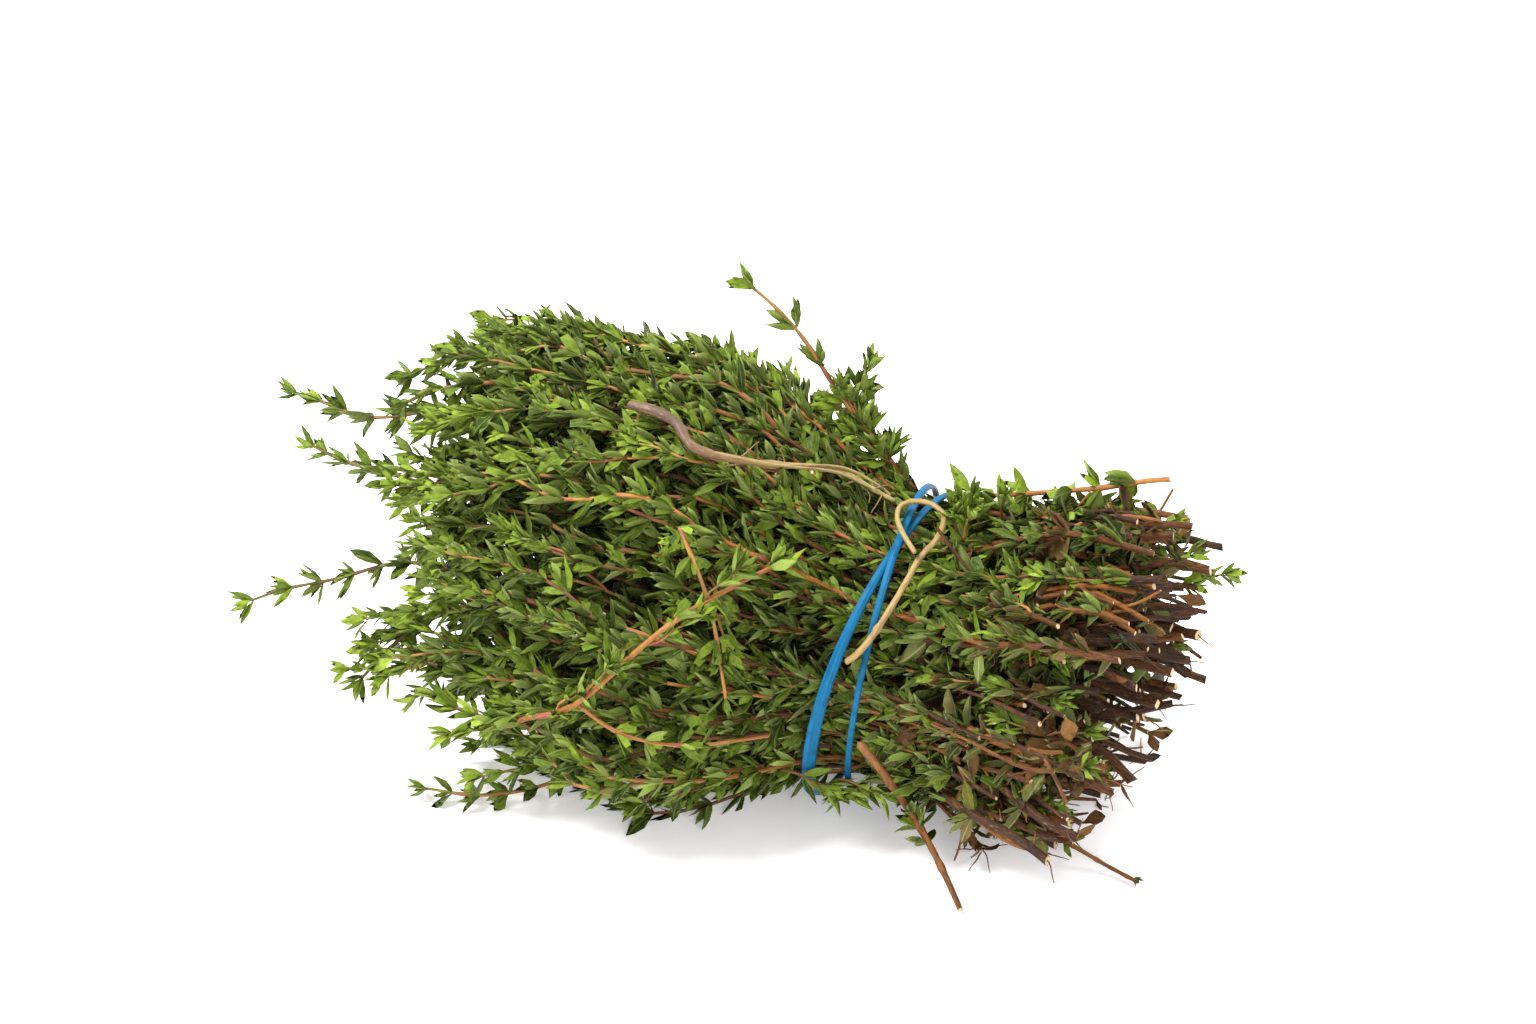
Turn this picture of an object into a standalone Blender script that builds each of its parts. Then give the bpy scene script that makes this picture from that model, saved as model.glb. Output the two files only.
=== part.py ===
"""Thyme bundle: about fifty cut sprigs of thyme, held at the waist by a rubber band wound twice.

The bundle lies on its side. +X runs along it from the leafy tips to the cut ends, +Z is up,
and the origin is under the middle of its bounding box. Every sprig is first laid out straight,
in a lane of its own with a square section, and flare() then spreads all the lanes together into
the bundle's shape. flare() keeps lanes apart, so no two pieces meet.

Lane coordinates are (along, side, height) in millimetres: `along` is 0 at the band, `side` is
negative towards the front, and `height` is 30 at the middle of the waist.
"""

import math
import random

import bmesh
import bpy
from mathutils import Matrix, Vector

MM = 0.001

# Lanes
LANE = 7.5
LANES_PER_ROW = (4, 6, 8, 8, 8, 6, 6, 4)
CLEARANCE = 0.15
WAIST_RADIUS = 30.0

# How the lanes spread away from the waist, as shares of their place in the waist
TIP_SPREAD = 0.60
TIP_RISE = 0.60
CUT_SPREAD = 0.34
CUT_RISE = 0.24
# The lowest rows slump wider on the floor, the top rows press down, the far tips draw in
TIP_SLUMP = 1.20
CUT_SLUMP = 0.20
TOP_PRESS = 0.28
TIP_DRAW_IN = 0.15
TIP_DRAW_DOWN = 0.10
WAIST_LIFT = 4.5
TIP_DRIFT = 5.0

# Where the sprigs end: at the middle of the back, then what a millimetre of place changes
CUT_END = 70.0
CUT_PER_SIDE = 0.26
CUT_PER_DEPTH = 0.33
CUT_BACK_TOP = 17.0
CUT_UNEVEN = 5.0
TIP_END = -97.0
TIP_PER_SIDE = 0.25
TIP_PER_DEPTH = 0.35
TIP_FRONT_TOP = 6.0
TIP_UNEVEN = 6.0
BUNDLE_TOP = 60.0
TOP_ROWS = 40.0

# Sprigs
STEM_AT_CUT = 1.15
STEM_AT_TIP = 0.35
WHORL_PITCH = 14.5
FIRST_WHORL = 48.5
WHORL_LENGTH = 0.9
LEAF_HALF_WIDTH = 1.15
LEAF_HALF_THICKNESS = 0.28
LEAF_SWEEP = 3.4
# Sprigs that reach out of the leafy end: how far, and how that length drifts (side, height)
LONG_SPRIGS = {
    1: (4.0, -3.5, 0.0),
    11: (4.0, 0.0, -2.0),
    12: (7.0, 0.0, 0.0),
    19: (17.0, -3.0, -8.0),
    20: (6.0, 0.0, 0.0),
    21: (50.0, -9.0, -8.0),
    30: (40.0, 0.0, 3.0),
    43: (44.0, 0.0, 2.0),
    46: (9.0, 0.0, 1.0),
    48: (9.0, 0.0, -1.0),
}

# Rubber band
BAND_RADIUS = 32.8
BAND_WIDTH = 1.7
BAND_WIDEST = 2.6
BAND_NARROWEST = 1.2
BAND_THICKNESS = 1.0
BAND_LEAN = 5.0
BAND_SPREAD = 4.3
BAND_CROSSING = math.radians(105)
BAND_STATIONS = 108

COLOURS = {
    "thyme_sprig": ((0.13, 0.22, 0.04), 0.55),
    "cut_stem": ((0.30, 0.13, 0.05), 0.70),
    "dry_stem": ((0.48, 0.30, 0.11), 0.70),
    "blue_rubber": ((0.01, 0.27, 0.62), 0.35),
}


def ease(value):
    """0 below 0, 1 above 1, and a smooth step between."""
    value = min(max(value, 0.0), 1.0)
    return value * value * (3 - 2 * value)


def flare(point):
    """From lane coordinates to the bundle's own shape, still in millimetres."""
    along, side, height = point
    tips = ease((6 - along) / 56)
    cuts = ease((along - 2) / 50)
    ends = ease((-78 - along) / 60)
    low = min(max(1 - height / BUNDLE_TOP, 0.0), 1.2) ** 3
    pressed = TOP_PRESS * ease((height - 30) / 30) * ease((-8 - along) / 60)
    wide = 1 + (TIP_SPREAD + TIP_SLUMP * low) * tips + (CUT_SPREAD + CUT_SLUMP * low) * cuts
    wide -= TIP_DRAW_IN * ends
    tall = 1 + TIP_RISE * (1 - pressed) * tips + CUT_RISE * cuts - TIP_DRAW_DOWN * ends
    lift = WAIST_LIFT * math.exp(-((along / 18) ** 2))
    sway = 1.2 * math.sin(along / 16 + height / 25)
    ripple = math.sin(along / 19 + side / 22) * min(max(height / 15, 0.0), 1.0)
    return Vector(
        (along, side * wide + TIP_DRIFT * tips - cuts + sway, lift + height * tall + ripple)
    )


def around(along, degrees, radius):
    """A point in lane coordinates at an angle round the waist: 90 is the top, 180 the front."""
    angle = math.radians(degrees)
    side = radius * math.cos(angle)
    return Vector((along, side, WAIST_RADIUS + radius * math.sin(angle)))


def frame(centre, forward, upward, depth, height):
    """The placing of a unit square that faces `forward`, `depth` by `height` across."""
    forward = forward.normalized()
    sideways = upward.cross(forward).normalized()
    upward = forward.cross(sideways)
    placed = Matrix((forward, sideways * depth, upward * height)).transposed().to_4x4()
    placed.translation = centre
    return placed


def tube(bm, frames):
    """Extrudes a square from frame to frame. Returns its two end faces and each length's four sides."""
    corners = bmesh.ops.create_cube(bm, size=1.0)["verts"]
    bm.normal_update()
    back = next(face for face in bm.faces if face.normal.x < -0.9)
    front = next(face for face in bm.faces if face.normal.x > 0.9)
    for corner in corners:
        placed = frames[1] if corner.co.x > 0 else frames[0]
        corner.co = placed @ Vector((0, corner.co.y, corner.co.z))
    sides = [[face for face in bm.faces if face not in (back, front)]]
    for before, after in zip(frames[1:], frames[2:]):
        front = bmesh.ops.extrude_discrete_faces(bm, faces=[front])["faces"][0]
        bmesh.ops.transform(bm, matrix=after @ before.inverted(), verts=front.verts)
        sides.append([f for edge in front.edges for f in edge.link_faces if f is not front])
    return back, front, sides


def grow_leaf(bm, side, forward, outward, reach):
    """Extrudes one side of a stem into a leaf: out to its widest place, then to its tip."""
    foot = side.calc_center_median()
    across = outward.cross(forward)
    blade = (outward * reach + forward * LEAF_SWEEP).normalized()
    normal = across.cross(blade)
    side = bmesh.ops.extrude_discrete_faces(bm, faces=[side])["faces"][0]
    for corner in side.verts:
        offset = corner.co - foot
        corner.co = foot + 0.5 * (outward * reach + forward * LEAF_SWEEP)
        corner.co += across * math.copysign(LEAF_HALF_WIDTH, offset.dot(across))
        corner.co += normal * math.copysign(LEAF_HALF_THICKNESS, offset.dot(normal))
    side = bmesh.ops.extrude_discrete_faces(bm, faces=[side])["faces"][0]
    tip = foot + outward * reach + forward * LEAF_SWEEP
    bmesh.ops.pointmerge(bm, verts=side.verts, merge_co=tip)


def grow_sprig(bm, stations, whorls, upward=Vector((0, 0, 1))):
    """A tapering stem through `stations`, each (centre, radius), ending in a point.

    `whorls` holds (index of the station it starts at, which way it faces, its reach): a pair of
    opposite leaves that face "sides" or "upright", or one leaf at the "top".
    """
    centres = [centre for centre, _ in stations]
    ahead = centres[1:] + [2 * centres[-1] - centres[-2]]
    behind = [2 * centres[0] - centres[1]] + centres[:-1]
    frames = [
        frame(centre, after - before, upward, 2 * radius, 2 * radius)
        for (centre, radius), before, after in zip(stations, behind, ahead)
    ]
    _, point, sides = tube(bm, frames)
    bmesh.ops.pointmerge(bm, verts=point.verts, merge_co=centres[-1])
    for index, facing, reach in whorls:
        axes = frames[index].to_3x3()
        forward, sideways, top = (axes.col[i].normalized() for i in range(3))
        outwards = {"sides": (sideways, -sideways), "upright": (top, -top), "top": (top,)}
        for outward in outwards[facing]:
            around_stem = [face for face in sides[index] if face.is_valid]
            face = max(around_stem, key=lambda f: (f.calc_center_median() - centres[index]).dot(outward))
            grow_leaf(bm, face, forward, outward, reach)


def finish(bm, name, slot):
    """Flares the mesh, brings it to metres and makes it an object of the bundle."""
    for vert in bm.verts:
        vert.co = flare(vert.co) * MM
    bmesh.ops.recalc_face_normals(bm, faces=bm.faces)
    mesh = bpy.data.meshes.new(name)
    bm.to_mesh(mesh)
    bm.free()
    mesh.materials.append(material(slot))
    return add_object(name, mesh)


def add_object(name, data):
    made = bpy.data.objects.new(name, data)
    collection.objects.link(made)
    made.parent = bundle
    return made


def material(slot):
    if slot in bpy.data.materials:
        return bpy.data.materials[slot]
    made = bpy.data.materials.new(slot)
    made.use_nodes = True
    shader = made.node_tree.nodes["Principled BSDF"]
    colour, roughness = COLOURS[slot]
    shader.inputs["Base Color"].default_value = (*colour, 1)
    shader.inputs["Roughness"].default_value = roughness
    shader.inputs["Metallic"].default_value = 0.0
    made.diffuse_color = (*colour, 1)
    return made


def lane_centres():
    for row, count in enumerate(LANES_PER_ROW):
        for place in range(count):
            yield (place - (count - 1) / 2) * LANE, (row + 0.5) * LANE


def lane_sprig(number, side, height):
    """A sprig in its lane, with pairs of leaves that turn a quarter at each whorl."""
    chance = random.Random(number)
    back_top = ease((height - TOP_ROWS) / 12) * ease(side / 15)
    cut = CUT_END + CUT_PER_SIDE * side - CUT_PER_DEPTH * (BUNDLE_TOP - height)
    cut += chance.uniform(-CUT_UNEVEN, CUT_UNEVEN) - CUT_BACK_TOP * back_top
    front_top = ease((height - TOP_ROWS) / 12) * ease(-side / 10)
    tip = TIP_END - TIP_PER_SIDE * side + TIP_PER_DEPTH * max(0, WAIST_RADIUS - height)
    tip += chance.uniform(-TIP_UNEVEN, TIP_UNEVEN) - TIP_FRONT_TOP * front_top
    longer, aside, upwards = LONG_SPRIGS.get(number, (0.0, 0.0, 0.0))
    reach = LANE / 2 - CLEARANCE

    def centre(along):
        share = max(tip - along, 0) / max(longer, 1)
        return Vector((along, side + aside * share**2, height + upwards * share**2))

    def radius(along):
        share = (cut - along) / (cut - tip + longer)
        return STEM_AT_CUT + (STEM_AT_TIP - STEM_AT_CUT) * share

    whorl_places = [FIRST_WHORL - WHORL_PITCH * turn for turn in range(14)]
    whorl_places = [place for place in whorl_places if tip - longer + 6 < place < cut - 8]
    ends = [cut, tip - longer]
    alongs = sorted(
        [*ends, *whorl_places, *(place - WHORL_LENGTH for place in whorl_places)], reverse=True
    )
    stations = [(centre(along), radius(along)) for along in alongs]
    whorls = []
    for place in whorl_places:
        facing = "sides" if round((FIRST_WHORL - place) / WHORL_PITCH) % 2 else "upright"
        whorls.append((alongs.index(place), facing, reach - radius(place)))
    bm = bmesh.new()
    grow_sprig(bm, stations, whorls)
    finish(bm, f"sprig_{number:02d}", "thyme_sprig")


def smooth_path(points, steps):
    """Points along a Catmull-Rom curve through `points`."""
    padded = [2 * points[0] - points[1], *points, 2 * points[-1] - points[-2]]
    made = []
    for a, b, c, d in zip(padded, padded[1:], padded[2:], padded[3:]):
        for step in range(steps):
            t = step / steps
            made.append(
                0.5 * (2 * b + (c - a) * t + (2 * a - 5 * b + 4 * c - d) * t * t
                       + (3 * b - a - 3 * c + d) * t ** 3)
            )
    return [*made, points[-1]]


def loose_sprig(name, points, radii, whorls, slot="thyme_sprig", steps=2):
    """A leafy sprig that lies outside the lanes. `whorls` names points of the path by number."""
    path = smooth_path(points, steps)
    count = len(path) - 1
    stations = []
    placed = []
    for index, centre in enumerate(path):
        radius = radii[0] + (radii[1] - radii[0]) * index / count
        stations.append((centre, radius))
        for at, facing, reach in whorls:
            if index == round(at * steps):
                onward = (path[index + 1] - centre).normalized()
                placed.append((len(stations) - 1, facing, reach))
                stations.append((centre + onward * WHORL_LENGTH, radius))
    bm = bmesh.new()
    grow_sprig(bm, stations, placed)
    finish(bm, name, slot)


def bare_stem(name, points, radii, slot, steps=3):
    """A round stem with no leaves, as a curve."""
    path = smooth_path(points, steps)
    curve = bpy.data.curves.new(name, "CURVE")
    curve.dimensions = "3D"
    curve.bevel_depth = MM
    curve.bevel_resolution = 1
    curve.use_fill_caps = True
    spline = curve.splines.new("POLY")
    spline.points.add(len(path) - 1)
    for index, (centre, point) in enumerate(zip(path, spline.points)):
        point.co = (*(flare(centre) * MM), 1)
        point.radius = radii[0] + (radii[1] - radii[0]) * index / (len(path) - 1)
    curve.materials.append(material(slot))
    add_object(name, curve)


def band_centre(turn):
    """The middle of the band's section. `turn` runs twice round the bundle, 0 to 4 pi."""
    half = turn / 2
    angle = BAND_CROSSING + turn
    spread = BAND_SPREAD * (math.sin(half) + 0.25 * math.sin(3 * half))
    along = 1.5 + BAND_LEAN * math.cos(angle - math.radians(65)) + spread
    nearness = math.remainder(half, 2 * math.pi) / math.radians(22)
    radius = BAND_RADIUS + 1.5 * math.exp(-(nearness**2))
    return Vector((along, radius * math.cos(angle), WAIST_RADIUS + radius * math.sin(angle)))


def band_width(turn):
    """Rolled narrow in front on the first turn, and widest there on the second."""
    roll = math.exp(-(((turn - 1.4) / 0.9) ** 2))
    swell = math.exp(-(((turn - 2 * math.pi - 1.5) / 0.75) ** 2))
    return BAND_WIDTH + (BAND_WIDEST - BAND_WIDTH) * swell - (BAND_WIDTH - BAND_NARROWEST) * roll


def rubber_band():
    """One closed loop wound twice. Its two turns lie side by side and cross at the top."""
    frames = []
    for station in range(BAND_STATIONS):
        turn = 4 * math.pi * station / BAND_STATIONS
        centre = band_centre(turn)
        onward = band_centre(turn + 0.01) - band_centre(turn - 0.01)
        outward = Vector((0, centre.y, centre.z - WAIST_RADIUS))
        frames.append(frame(centre, onward, outward, band_width(turn), BAND_THICKNESS))
    bm = bmesh.new()
    back, front, _ = tube(bm, frames)
    rims = [*back.edges, *front.edges]
    bmesh.ops.delete(bm, geom=[back, front], context="FACES_ONLY")
    bmesh.ops.bridge_loops(bm, edges=rims)
    finish(bm, "rubber_band", "blue_rubber")


def loose_pieces():
    """The sprigs and stems that lie over the bundle or fall out of it."""
    loose_sprig(
        "crossing_sprig",
        [
            around(-64, 201, 30.3),
            around(-46, 183, 33.7),
            around(-28, 155, 36.6),
            around(-15, 134, 34.6),
        ],
        (1.3, 0.55),
        [(0.5, "top", 3.0), (1.5, "sides", 3.2), (2.5, "sides", 3.2)],
    )
    loose_sprig(
        "cross_twig",
        [around(-34, 138, 33.7), around(-26, 153, 33.7), around(-21, 176, 33.3)],
        (0.7, 0.4),
        [(0.5, "sides", 2.4), (1.5, "sides", 2.4)],
    )
    loose_sprig(
        "upright_sprig",
        [
            Vector((0.9, 14.9, 57.3)),
            Vector((-8, 13.0, 63.5)),
            Vector((-17, 11.0, 67.5)),
            Vector((-25, 9.0, 72.0)),
            Vector((-36, 7.0, 74.0)),
        ],
        (0.65, 0.35),
        [(1, "sides", 3.5), (2, "upright", 3.0), (3, "sides", 3.5), (3.5, "upright", 3.0)],
    )
    loose_sprig(
        "top_stalk",
        [
            around(12, 65, 33.4),
            around(24, 67, 33.4),
            around(42, 69.4, 32.8),
            around(56, 71, 35.5),
        ],
        (0.5, 0.65),
        [(1, "sides", 3.0), (2, "sides", 3.0)],
    )
    loose_sprig(
        "low_stem",
        [
            around(5.0, 186, 33.4),
            around(14, 207, 33.8),
            Vector((22, -29.5, 6.0)),
            Vector((31, -33.0, 1.3)),
        ],
        (1.05, 0.75),
        [(1.5, "sides", 2.6)],
        slot="cut_stem",
    )
    loose_sprig(
        "floor_sprig",
        [
            Vector((-58, -12.45, 2.9)),
            Vector((-67, -16.4, 2.2)),
            Vector((-78, -18.8, 1.9)),
            Vector((-90, -19.8, 2.2)),
        ],
        (0.5, 0.35),
        [(1.5, "sides", 2.6), (2.5, "sides", 2.6)],
    )
    bare_stem(
        "floor_twig",
        [
            Vector((45, -11.3, 3.7)),
            Vector((50, -11.2, 2.7)),
            Vector((56, -11.4, 1.3)),
            Vector((63.5, -12.6, 0.8)),
        ],
        (0.6, 0.4),
        "cut_stem",
    )
    bare_stem(
        "tan_branch",
        [
            around(-53, 109, 33.2),
            around(-42.5, 112, 32.8),
            around(-36, 117, 32.8),
            around(-25, 111, 33.1),
            around(-12, 93, 33.1),
            around(-4, 89, 33.1),
            around(0.5, 88, 33.1),
        ],
        (1.5, 0.65),
        "dry_stem",
    )
    bare_stem(
        "curled_tendril",
        [
            around(0.9, 155, 33.7),
            around(3.0, 151, 35.0),
            around(5.4, 144, 35.2),
            around(7.6, 135, 35.0),
            around(9.8, 122, 34.4),
            around(11.0, 112, 34.2),
            around(13.4, 103, 34.7),
            around(13.0, 95, 35.6),
            around(10.0, 91, 36.3),
            around(6.3, 91, 36.6),
            around(3.6, 95, 36.6),
            around(3.8, 101, 36.6),
            around(6.4, 107, 36.7),
            around(10.2, 113, 36.9),
        ],
        (0.95, 0.65),
        "dry_stem",
        steps=4,
    )


for old in list(bpy.data.objects):
    bpy.data.objects.remove(old, do_unlink=True)

collection = bpy.data.collections.new("thyme_bundle")
bpy.context.scene.collection.children.link(collection)
bundle = bpy.data.objects.new("thyme_bundle", None)
collection.objects.link(bundle)

for number, (side, height) in enumerate(lane_centres(), start=1):
    lane_sprig(number, side, height)
rubber_band()
loose_pieces()

bpy.context.view_layer.update()
corners = [
    made.matrix_world @ Vector(corner)
    for made in bundle.children
    for corner in made.bound_box
]
lows = [min(corner[axis] for corner in corners) for axis in range(3)]
highs = [max(corner[axis] for corner in corners) for axis in range(3)]
bundle.location = (-(lows[0] + highs[0]) / 2, -(lows[1] + highs[1]) / 2, -lows[2])
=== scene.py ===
"""The looks of the thyme bundle: leafy sprigs with woody cut ends, held by a blue rubber band.

Each named node of the model gets one detailed piece. Sprigs are laid out straight, in lanes, and
flare() spreads the lanes into the bundle's shape, as in the part. Lane coordinates are (along,
side, height) in millimetres: `along` is 0 at the band and grows towards the cut ends, `side` is
negative towards the front, and `height` is 30 at the middle of the waist.
"""

import math
import random

import bmesh
import bpy
from mathutils import Matrix, Vector


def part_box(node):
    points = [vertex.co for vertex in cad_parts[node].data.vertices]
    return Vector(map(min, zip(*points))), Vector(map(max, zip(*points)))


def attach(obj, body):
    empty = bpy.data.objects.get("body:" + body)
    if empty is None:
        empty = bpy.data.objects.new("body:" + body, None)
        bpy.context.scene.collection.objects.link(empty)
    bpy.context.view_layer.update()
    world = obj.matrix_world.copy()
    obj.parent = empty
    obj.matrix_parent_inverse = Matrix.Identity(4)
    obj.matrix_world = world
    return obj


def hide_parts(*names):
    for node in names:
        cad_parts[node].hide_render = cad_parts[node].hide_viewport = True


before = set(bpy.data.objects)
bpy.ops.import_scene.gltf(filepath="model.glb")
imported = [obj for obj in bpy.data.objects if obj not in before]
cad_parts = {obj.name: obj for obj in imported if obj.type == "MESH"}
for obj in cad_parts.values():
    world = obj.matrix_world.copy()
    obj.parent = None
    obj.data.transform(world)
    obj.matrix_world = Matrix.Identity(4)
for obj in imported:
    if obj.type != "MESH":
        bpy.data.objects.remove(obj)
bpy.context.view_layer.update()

MM = 0.001

# Lanes, as in the part
LANE = 7.5
LANES_PER_ROW = (4, 6, 8, 8, 8, 6, 6, 4)
WAIST_RADIUS = 30.0
BUNDLE_TOP = 60.0

# How the lanes spread away from the waist, as in the part
TIP_SPREAD = 0.60
TIP_RISE = 0.60
CUT_SPREAD = 0.34
CUT_RISE = 0.24
TIP_SLUMP = 1.20
CUT_SLUMP = 0.20
TOP_PRESS = 0.28
TIP_DRAW_IN = 0.15
TIP_DRAW_DOWN = 0.10
WAIST_LIFT = 4.5
TIP_DRIFT = 5.0

# Sprigs that reach out of the leafy end: how far, and how that length drifts (side, height)
LONG_SPRIGS = {
    1: (4.0, -3.5, 0.0),
    11: (4.0, 0.0, -2.0),
    12: (7.0, 0.0, 0.0),
    19: (17.0, -3.0, -8.0),
    20: (6.0, 0.0, 0.0),
    21: (50.0, -9.0, -8.0),
    30: (40.0, 0.0, 3.0),
    43: (44.0, 0.0, 2.0),
    46: (9.0, 0.0, 1.0),
    48: (9.0, 0.0, -1.0),
}

# Rubber band, as in the part
BAND_RADIUS = 32.8
BAND_WIDTH = 1.7
BAND_WIDEST = 2.6
BAND_NARROWEST = 1.2
BAND_THICKNESS = 1.0
BAND_LEAN = 5.0
BAND_SPREAD = 4.3
BAND_CROSSING = math.radians(105)
BAND_STATIONS = 108

# How far from the middle of the waist a stem may run: under the band, away from it, and at the
# top of the cut half, of the slope beside the band and of the leafy tips. Leaves have their own.
STEM_LIMIT = 31.0
SIDE_LIMIT = 34.5
CUT_TOP_LIMIT = 31.0
SLOPE_LIMIT = 28.5
TIPS_LIMIT = 30.0
LEAF_LIMIT = 31.7
BAND_REACH = 7.0  # how far along the bundle the two turns spread from their middle

LONG_REACH = 20  # a sprig that reaches out further than this stands alone
WOODY_FROM = 6  # where along the bundle the stems turn woody
LEAFY_ENDS = (34,)  # sprigs with a green shoot at the cut end
TIP_DROOP = 4.0  # how far the top rows sink towards their tips
TOP_CUT_BACK = 4.0  # how much shorter the top rows are at the cut end
LONGEST_CUT = 64.0  # where cut ends begin to be trimmed, and how much of the rest goes
CUT_TRIM = 0.6
STEMS_ABOVE_FLOOR = 0.9

# Leaves: how long in millimetres, how wide for their length, and the age past which one is dry
LEAF_LENGTH, LEAF_WIDTH = 7.8, 0.205
CUT_LEAF_LENGTH, CUT_LEAF_WIDTH = 7.4, 0.28
SHOOT_LEAVES = (7.4, 5.4)
SHOOT_LEAF_WIDTH = 0.22
BUD_LEAF_WIDTH = 0.26
BUD_LENGTH, SHOOT_BUD_LENGTH = 6.2, 5.8
DRY_AGE = 0.86
BURIED = 0.15  # how little of a stem shows where its leaves can be plain
JOINT_GAP = 5.6  # between the joints of a stem, and nearer its tip, and on a lone one
TIP_JOINT_GAP = 3.6
LONE_JOINT_GAP = 6.5
LOWEST = 0.0001  # metres

# Camera, in degrees, metres and millimetres of lens
CAMERA_TURN, CAMERA_TILT = 20, 32
CAMERA_DISTANCE = 0.557
CAMERA_ASIDE, CAMERA_LIFT = 0.0255, 0.0279
CAMERA_LENS = 60.0


# ---------------------------------------------------------------- the bundle's shape


def ease(value):
    """0 below 0, 1 above 1, and a smooth step between."""
    value = min(max(value, 0.0), 1.0)
    return value * value * (3 - 2 * value)


def blend(start, end, share):
    return start + (end - start) * share


def even_steps(start, end, count):
    return [blend(start, end, step / count) for step in range(count + 1)]


def above_floor(point, least):
    return Vector((point.x, point.y, max(point.z, least)))


def flare(point):
    """From lane coordinates to the bundle's own shape, still in millimetres."""
    along, side, height = point
    tips = ease((6 - along) / 56)
    cuts = ease((along - 2) / 50)
    ends = ease((-78 - along) / 60)
    low = min(max(1 - height / BUNDLE_TOP, 0.0), 1.2) ** 3
    pressed = TOP_PRESS * ease((height - 30) / 30) * ease((-8 - along) / 60)
    wide = 1 + (TIP_SPREAD + TIP_SLUMP * low) * tips + (CUT_SPREAD + CUT_SLUMP * low) * cuts
    wide -= TIP_DRAW_IN * ends
    tall = 1 + TIP_RISE * (1 - pressed) * tips + CUT_RISE * cuts - TIP_DRAW_DOWN * ends
    lift = WAIST_LIFT * math.exp(-((along / 18) ** 2))
    sway = 1.2 * math.sin(along / 16 + height / 25)
    ripple = math.sin(along / 19 + side / 22) * min(max(height / 15, 0.0), 1.0)
    side = side * wide + TIP_DRIFT * tips - cuts + sway
    return Vector((along, side, lift + height * tall + ripple))


def around(along, degrees, radius):
    """A point in lane coordinates at an angle round the waist: 90 is the top, 180 the front."""
    angle = math.radians(degrees)
    side = radius * math.cos(angle)
    return Vector((along, side, WAIST_RADIUS + radius * math.sin(angle)))


def band_centre(turn):
    """The middle of the band's section. `turn` runs twice round the bundle, 0 to 4 pi."""
    half = turn / 2
    angle = BAND_CROSSING + turn
    spread = BAND_SPREAD * (math.sin(half) + 0.25 * math.sin(3 * half))
    along = 1.5 + BAND_LEAN * math.cos(angle - math.radians(65)) + spread
    nearness = math.remainder(half, 2 * math.pi) / math.radians(22)
    radius = BAND_RADIUS + 1.5 * math.exp(-(nearness**2))
    return Vector((along, radius * math.cos(angle), WAIST_RADIUS + radius * math.sin(angle)))


def band_width(turn):
    """Rolled narrow in front on the first turn, and widest there on the second."""
    roll = math.exp(-(((turn - 1.4) / 0.9) ** 2))
    swell = math.exp(-(((turn - 2 * math.pi - 1.5) / 0.75) ** 2))
    return BAND_WIDTH + (BAND_WIDEST - BAND_WIDTH) * swell - (BAND_WIDTH - BAND_NARROWEST) * roll


def band_section(turn, width, thickness):
    """The placing of a unit square on the band: x across its width, y out from the bundle."""
    centre = band_centre(turn)
    forward = (band_centre(turn + 0.01) - band_centre(turn - 0.01)).normalized()
    outward = Vector((0, centre.y, centre.z - WAIST_RADIUS))
    across = outward.cross(forward).normalized()
    outward = forward.cross(across)
    placed = Matrix((across * width, outward * thickness, forward)).transposed().to_4x4()
    placed.translation = centre
    return placed


def bundle_origin():
    """Where the bundle's own origin lies in the model, in metres, found from the band's box."""
    corners = []
    for station in range(BAND_STATIONS):
        turn = 4 * math.pi * station / BAND_STATIONS
        section = band_section(turn, band_width(turn), BAND_THICKNESS)
        for x, y in ((-0.5, -0.5), (-0.5, 0.5), (0.5, -0.5), (0.5, 0.5)):
            corners.append(flare(section @ Vector((x, y, 0))))
    lows = Vector([min(corner[axis] for corner in corners) for axis in range(3)])
    highs = Vector([max(corner[axis] for corner in corners) for axis in range(3)])
    low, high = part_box("rubber_band")
    return (low + high) / 2 - (lows + highs) / 2 * MM


ORIGIN = bundle_origin()


def smooth_path(points, steps):
    """Points along a Catmull-Rom curve through `points`."""
    padded = [2 * points[0] - points[1], *points, 2 * points[-1] - points[-2]]
    made = []
    for a, b, c, d in zip(padded, padded[1:], padded[2:], padded[3:]):
        for step in range(steps):
            t = step / steps
            slope = (c - a) * t
            bend = (2 * a - 5 * b + 4 * c - d) * t**2
            twist = (3 * b - a - 3 * c + d) * t**3
            made.append(0.5 * (2 * b + slope + bend + twist))
    return [*made, points[-1]]


def carried_frames(path, up=Vector((0.1, 0.2, 1))):
    """At each point of a path, a frame whose z runs along it, turning as little as it can."""
    ahead = path[1:] + [2 * path[-1] - path[-2]]
    behind = [2 * path[0] - path[1]] + path[:-1]
    frames = []
    for centre, after, before in zip(path, ahead, behind):
        forward = (after - before).normalized()
        sideways = up.cross(forward).normalized()
        up = forward.cross(sideways)
        placed = Matrix((sideways, up, forward)).transposed().to_4x4()
        placed.translation = centre
        frames.append(placed)
    return frames


# ---------------------------------------------------------------- materials


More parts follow.
